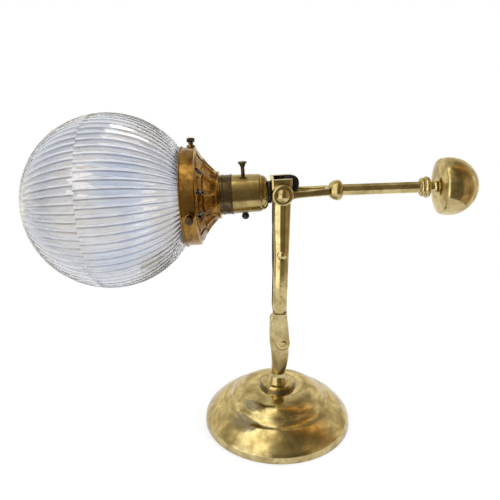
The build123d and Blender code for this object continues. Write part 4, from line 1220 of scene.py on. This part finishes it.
# ---------------------------------------------------------------------------------------------
# Studio
# ---------------------------------------------------------------------------------------------
@dataclass
class Studio:
    """White studio: floor, backdrop in the world, three soft lamps and the camera.

    Walls and ceiling are the room that only the metal shows. Their colours go by the share of a
    turn round the lamp, from behind it by its left, the camera and its right.
    """

    camera_place: Triple = (-28.1, -484.9, 344.4)
    camera_pitch: float = 19.1
    camera_roll: float = -0.2
    lens: float = 41.07
    image_width: float = 36.0
    floor_radius: float = 380.0
    paper: str = "#F7F7F7"
    paling: Pair = (100.0, 300.0)
    near_glow: float = 0.55
    glow: float = 1.08
    ambient: str = "#C4C4C6"
    ground: str = "#8D7F66"
    ceiling_rise: Pair = (0.45, 0.85)
    ground_fall: Pair = (-0.55, -0.85)
    room_light: Pair = (1.15, 2.25)
    lamp_aim: float = 150.0
    walls: Ramp = (
        (0.0, "#C4BEAC"),
        (0.215, "#C4BEAC"),
        (0.235, "#A09680"),
        (0.300, "#A09680"),
        (0.322, "#FFFFF2"),
        (0.450, "#FFFFF2"),
        (0.478, "#655D4B"),
        (0.610, "#5A5343"),
        (0.640, "#978469"),
        (0.755, "#8C7A5E"),
        (0.785, "#BDB5A2"),
        (1.0, "#C4BEAC"),
    )
    ceiling: Ramp = (
        (0.0, "#A09C8E"),
        (0.18, "#A8A496"),
        (0.27, "#FFFCEC"),
        (0.42, "#FFF6DC"),
        (0.50, "#A39A82"),
        (0.58, "#5E5745"),
        (0.70, "#6A5A40"),
        (0.78, "#B98F54"),
        (0.86, "#7C735F"),
        (1.0, "#A09C8E"),
    )

    def camera(self) -> None:
        """Set the camera to the photograph's viewpoint."""
        data = bpy.data.cameras.new("camera")
        data.lens = self.lens
        data.sensor_width = self.image_width
        data.clip_start = 0.01
        eye = bpy.data.objects.new("camera", data)
        eye.location = Vector(self.camera_place) * MM
        turned = (math.radians(90 - self.camera_pitch), math.radians(self.camera_roll), 0)
        eye.rotation_euler = Euler(turned, "XYZ")
        bpy.context.scene.collection.objects.link(eye)
        bpy.context.scene.camera = eye

    def seen(self, tree: NodeTree) -> Node:
        """One for rays that reach the eye straight or through the glass, zero for all others."""
        rays = add_node(tree, "LightPath").outputs
        return add_node(tree, "Math", rays["Is Camera Ray"], rays["Is Transmission Ray"], operation="MAXIMUM")

    def floor(self) -> None:
        """Lay a round of paper that catches the shadow and pales into the backdrop."""
        mesh = bmesh.new()
        bmesh.ops.create_circle(mesh, cap_ends=True, segments=96, radius=self.floor_radius * MM)
        data = bpy.data.meshes.new("floor")
        mesh.to_mesh(data)
        mesh.free()
        material, tree = fresh_material("white paper")
        place = add_node(tree, "TexCoord").outputs["Object"]
        reach = add_node(tree, "VectorMath", place, operation="LENGTH")
        near, far = (edge * MM for edge in self.paling)
        paling = add_node(tree, "MapRange", Value=reach, From_Min=near, From_Max=far, To_Min=self.near_glow)
        share = add_node(tree, "Math", paling, self.seen(tree), operation="MULTIPLY")
        paper = add_node(tree, "BsdfPrincipled", Base_Color=colour(self.paper), Roughness=0.9)
        glow = add_node(tree, "Emission", Color=colour("#FFFFFF"), Strength=self.glow)
        shader = add_node(tree, "MixShader", share, paper, glow)
        add_node(tree, "OutputMaterial", Surface=shader)
        data.materials.append(material)
        floor = bpy.data.objects.new("floor", data)
        bpy.context.scene.collection.objects.link(floor)

    def lamp(self, name: str, place: Triple, size: float, power: float) -> None:
        """Hang a soft square lamp that faces the lamp's middle.

        Args:
            name: Name of the lamp.
            place: Its place, in metres.
            size: Side of the square, in metres.
            power: Power in watts.
        """
        data = bpy.data.lights.new(name, "AREA")
        data.size = size
        data.energy = power
        light = bpy.data.objects.new(name, data)
        light.location = place
        aim = Vector((0.0, 0.0, self.lamp_aim * MM)) - Vector(place)
        light.rotation_euler = aim.to_track_quat("-Z", "Y").to_euler()
        light.visible_glossy = False
        bpy.context.scene.collection.objects.link(light)

    def room(self, tree: NodeTree) -> Node:
        """Paint the room that the metal reflects.

        Args:
            tree: Node tree of the world.

        Returns:
            A node that gives the room's colours.
        """
        place = add_node(tree, "TexCoord").outputs["Generated"]
        east, north, rise = add_node(tree, "SeparateXYZ", place).outputs
        forward = add_node(tree, "Math", north, -1.0, operation="MULTIPLY")
        azimuth = add_node(tree, "Math", east, forward, operation="ARCTAN2")
        turn = add_node(tree, "MapRange", Value=azimuth, From_Min=-math.pi, From_Max=math.pi)
        painted = stops(add_node(tree, "ValToRGB", Fac=turn), self.walls)
        above = stops(add_node(tree, "ValToRGB", Fac=turn), self.ceiling)
        for (start, full), paint in ((self.ceiling_rise, above), (self.ground_fall, colour(self.ground))):
            share = add_node(tree, "MapRange", Value=rise, From_Min=start, From_Max=full)
            painted = add_node(tree, "Mix", Factor=share, A=painted, B=paint, data_type="RGBA")
        clutter = add_node(
            tree, "TexNoise", Vector=place, Scale=3.4, Detail=5.0, Roughness=0.6, Distortion=0.6
        )
        dim, lit = self.room_light
        shade = add_node(
            tree, "MapRange", Value=clutter, From_Min=0.36, From_Max=0.62, To_Min=dim, To_Max=lit
        )
        return add_node(tree, "VectorMath", Vector=painted, Scale=shade, operation="SCALE")

    def backdrop(self) -> None:
        """Hang white behind the lamp, and the room round it for the metal alone."""
        world = bpy.data.worlds.new("studio")
        bpy.context.scene.world = world
        world.use_nodes = True
        tree = world.node_tree
        tree.nodes.clear()
        glossy = add_node(tree, "LightPath").outputs["Is Glossy Ray"]
        ambient, white = colour(self.ambient), colour("#FFFFFF")
        lit = add_node(tree, "Mix", Factor=glossy, A=ambient, B=self.room(tree), data_type="RGBA")
        shown = add_node(tree, "Mix", Factor=self.seen(tree), A=lit, B=white, data_type="RGBA")
        background = add_node(tree, "Background", Color=shown, Strength=1.0)
        add_node(tree, "OutputWorld", Surface=background)

    def build(self) -> None:
        """Build the studio."""
        bpy.context.scene.view_settings.view_transform = "Standard"
        self.camera()
        self.floor()
        self.backdrop()
        self.lamp("key", (-0.9, -1.1, 1.3), 0.8, 14.0)
        self.lamp("fill", (1.3, -0.7, 0.8), 0.6, 7.0)
        self.lamp("top", (0.1, 0.5, 1.6), 0.9, 8.0)


def main() -> None:
    """Build every sub-assembly."""
    logging.basicConfig(level=logging.INFO, format="%(message)s")
    for part in (Base(), Foot(), Stem(), Arm(), Lampholder(), Gallery(), Globe(), Wire(), Studio()):
        part.build()
        log.info("%s is in place", type(part).__name__)


if __name__ == "__main__":
    main()
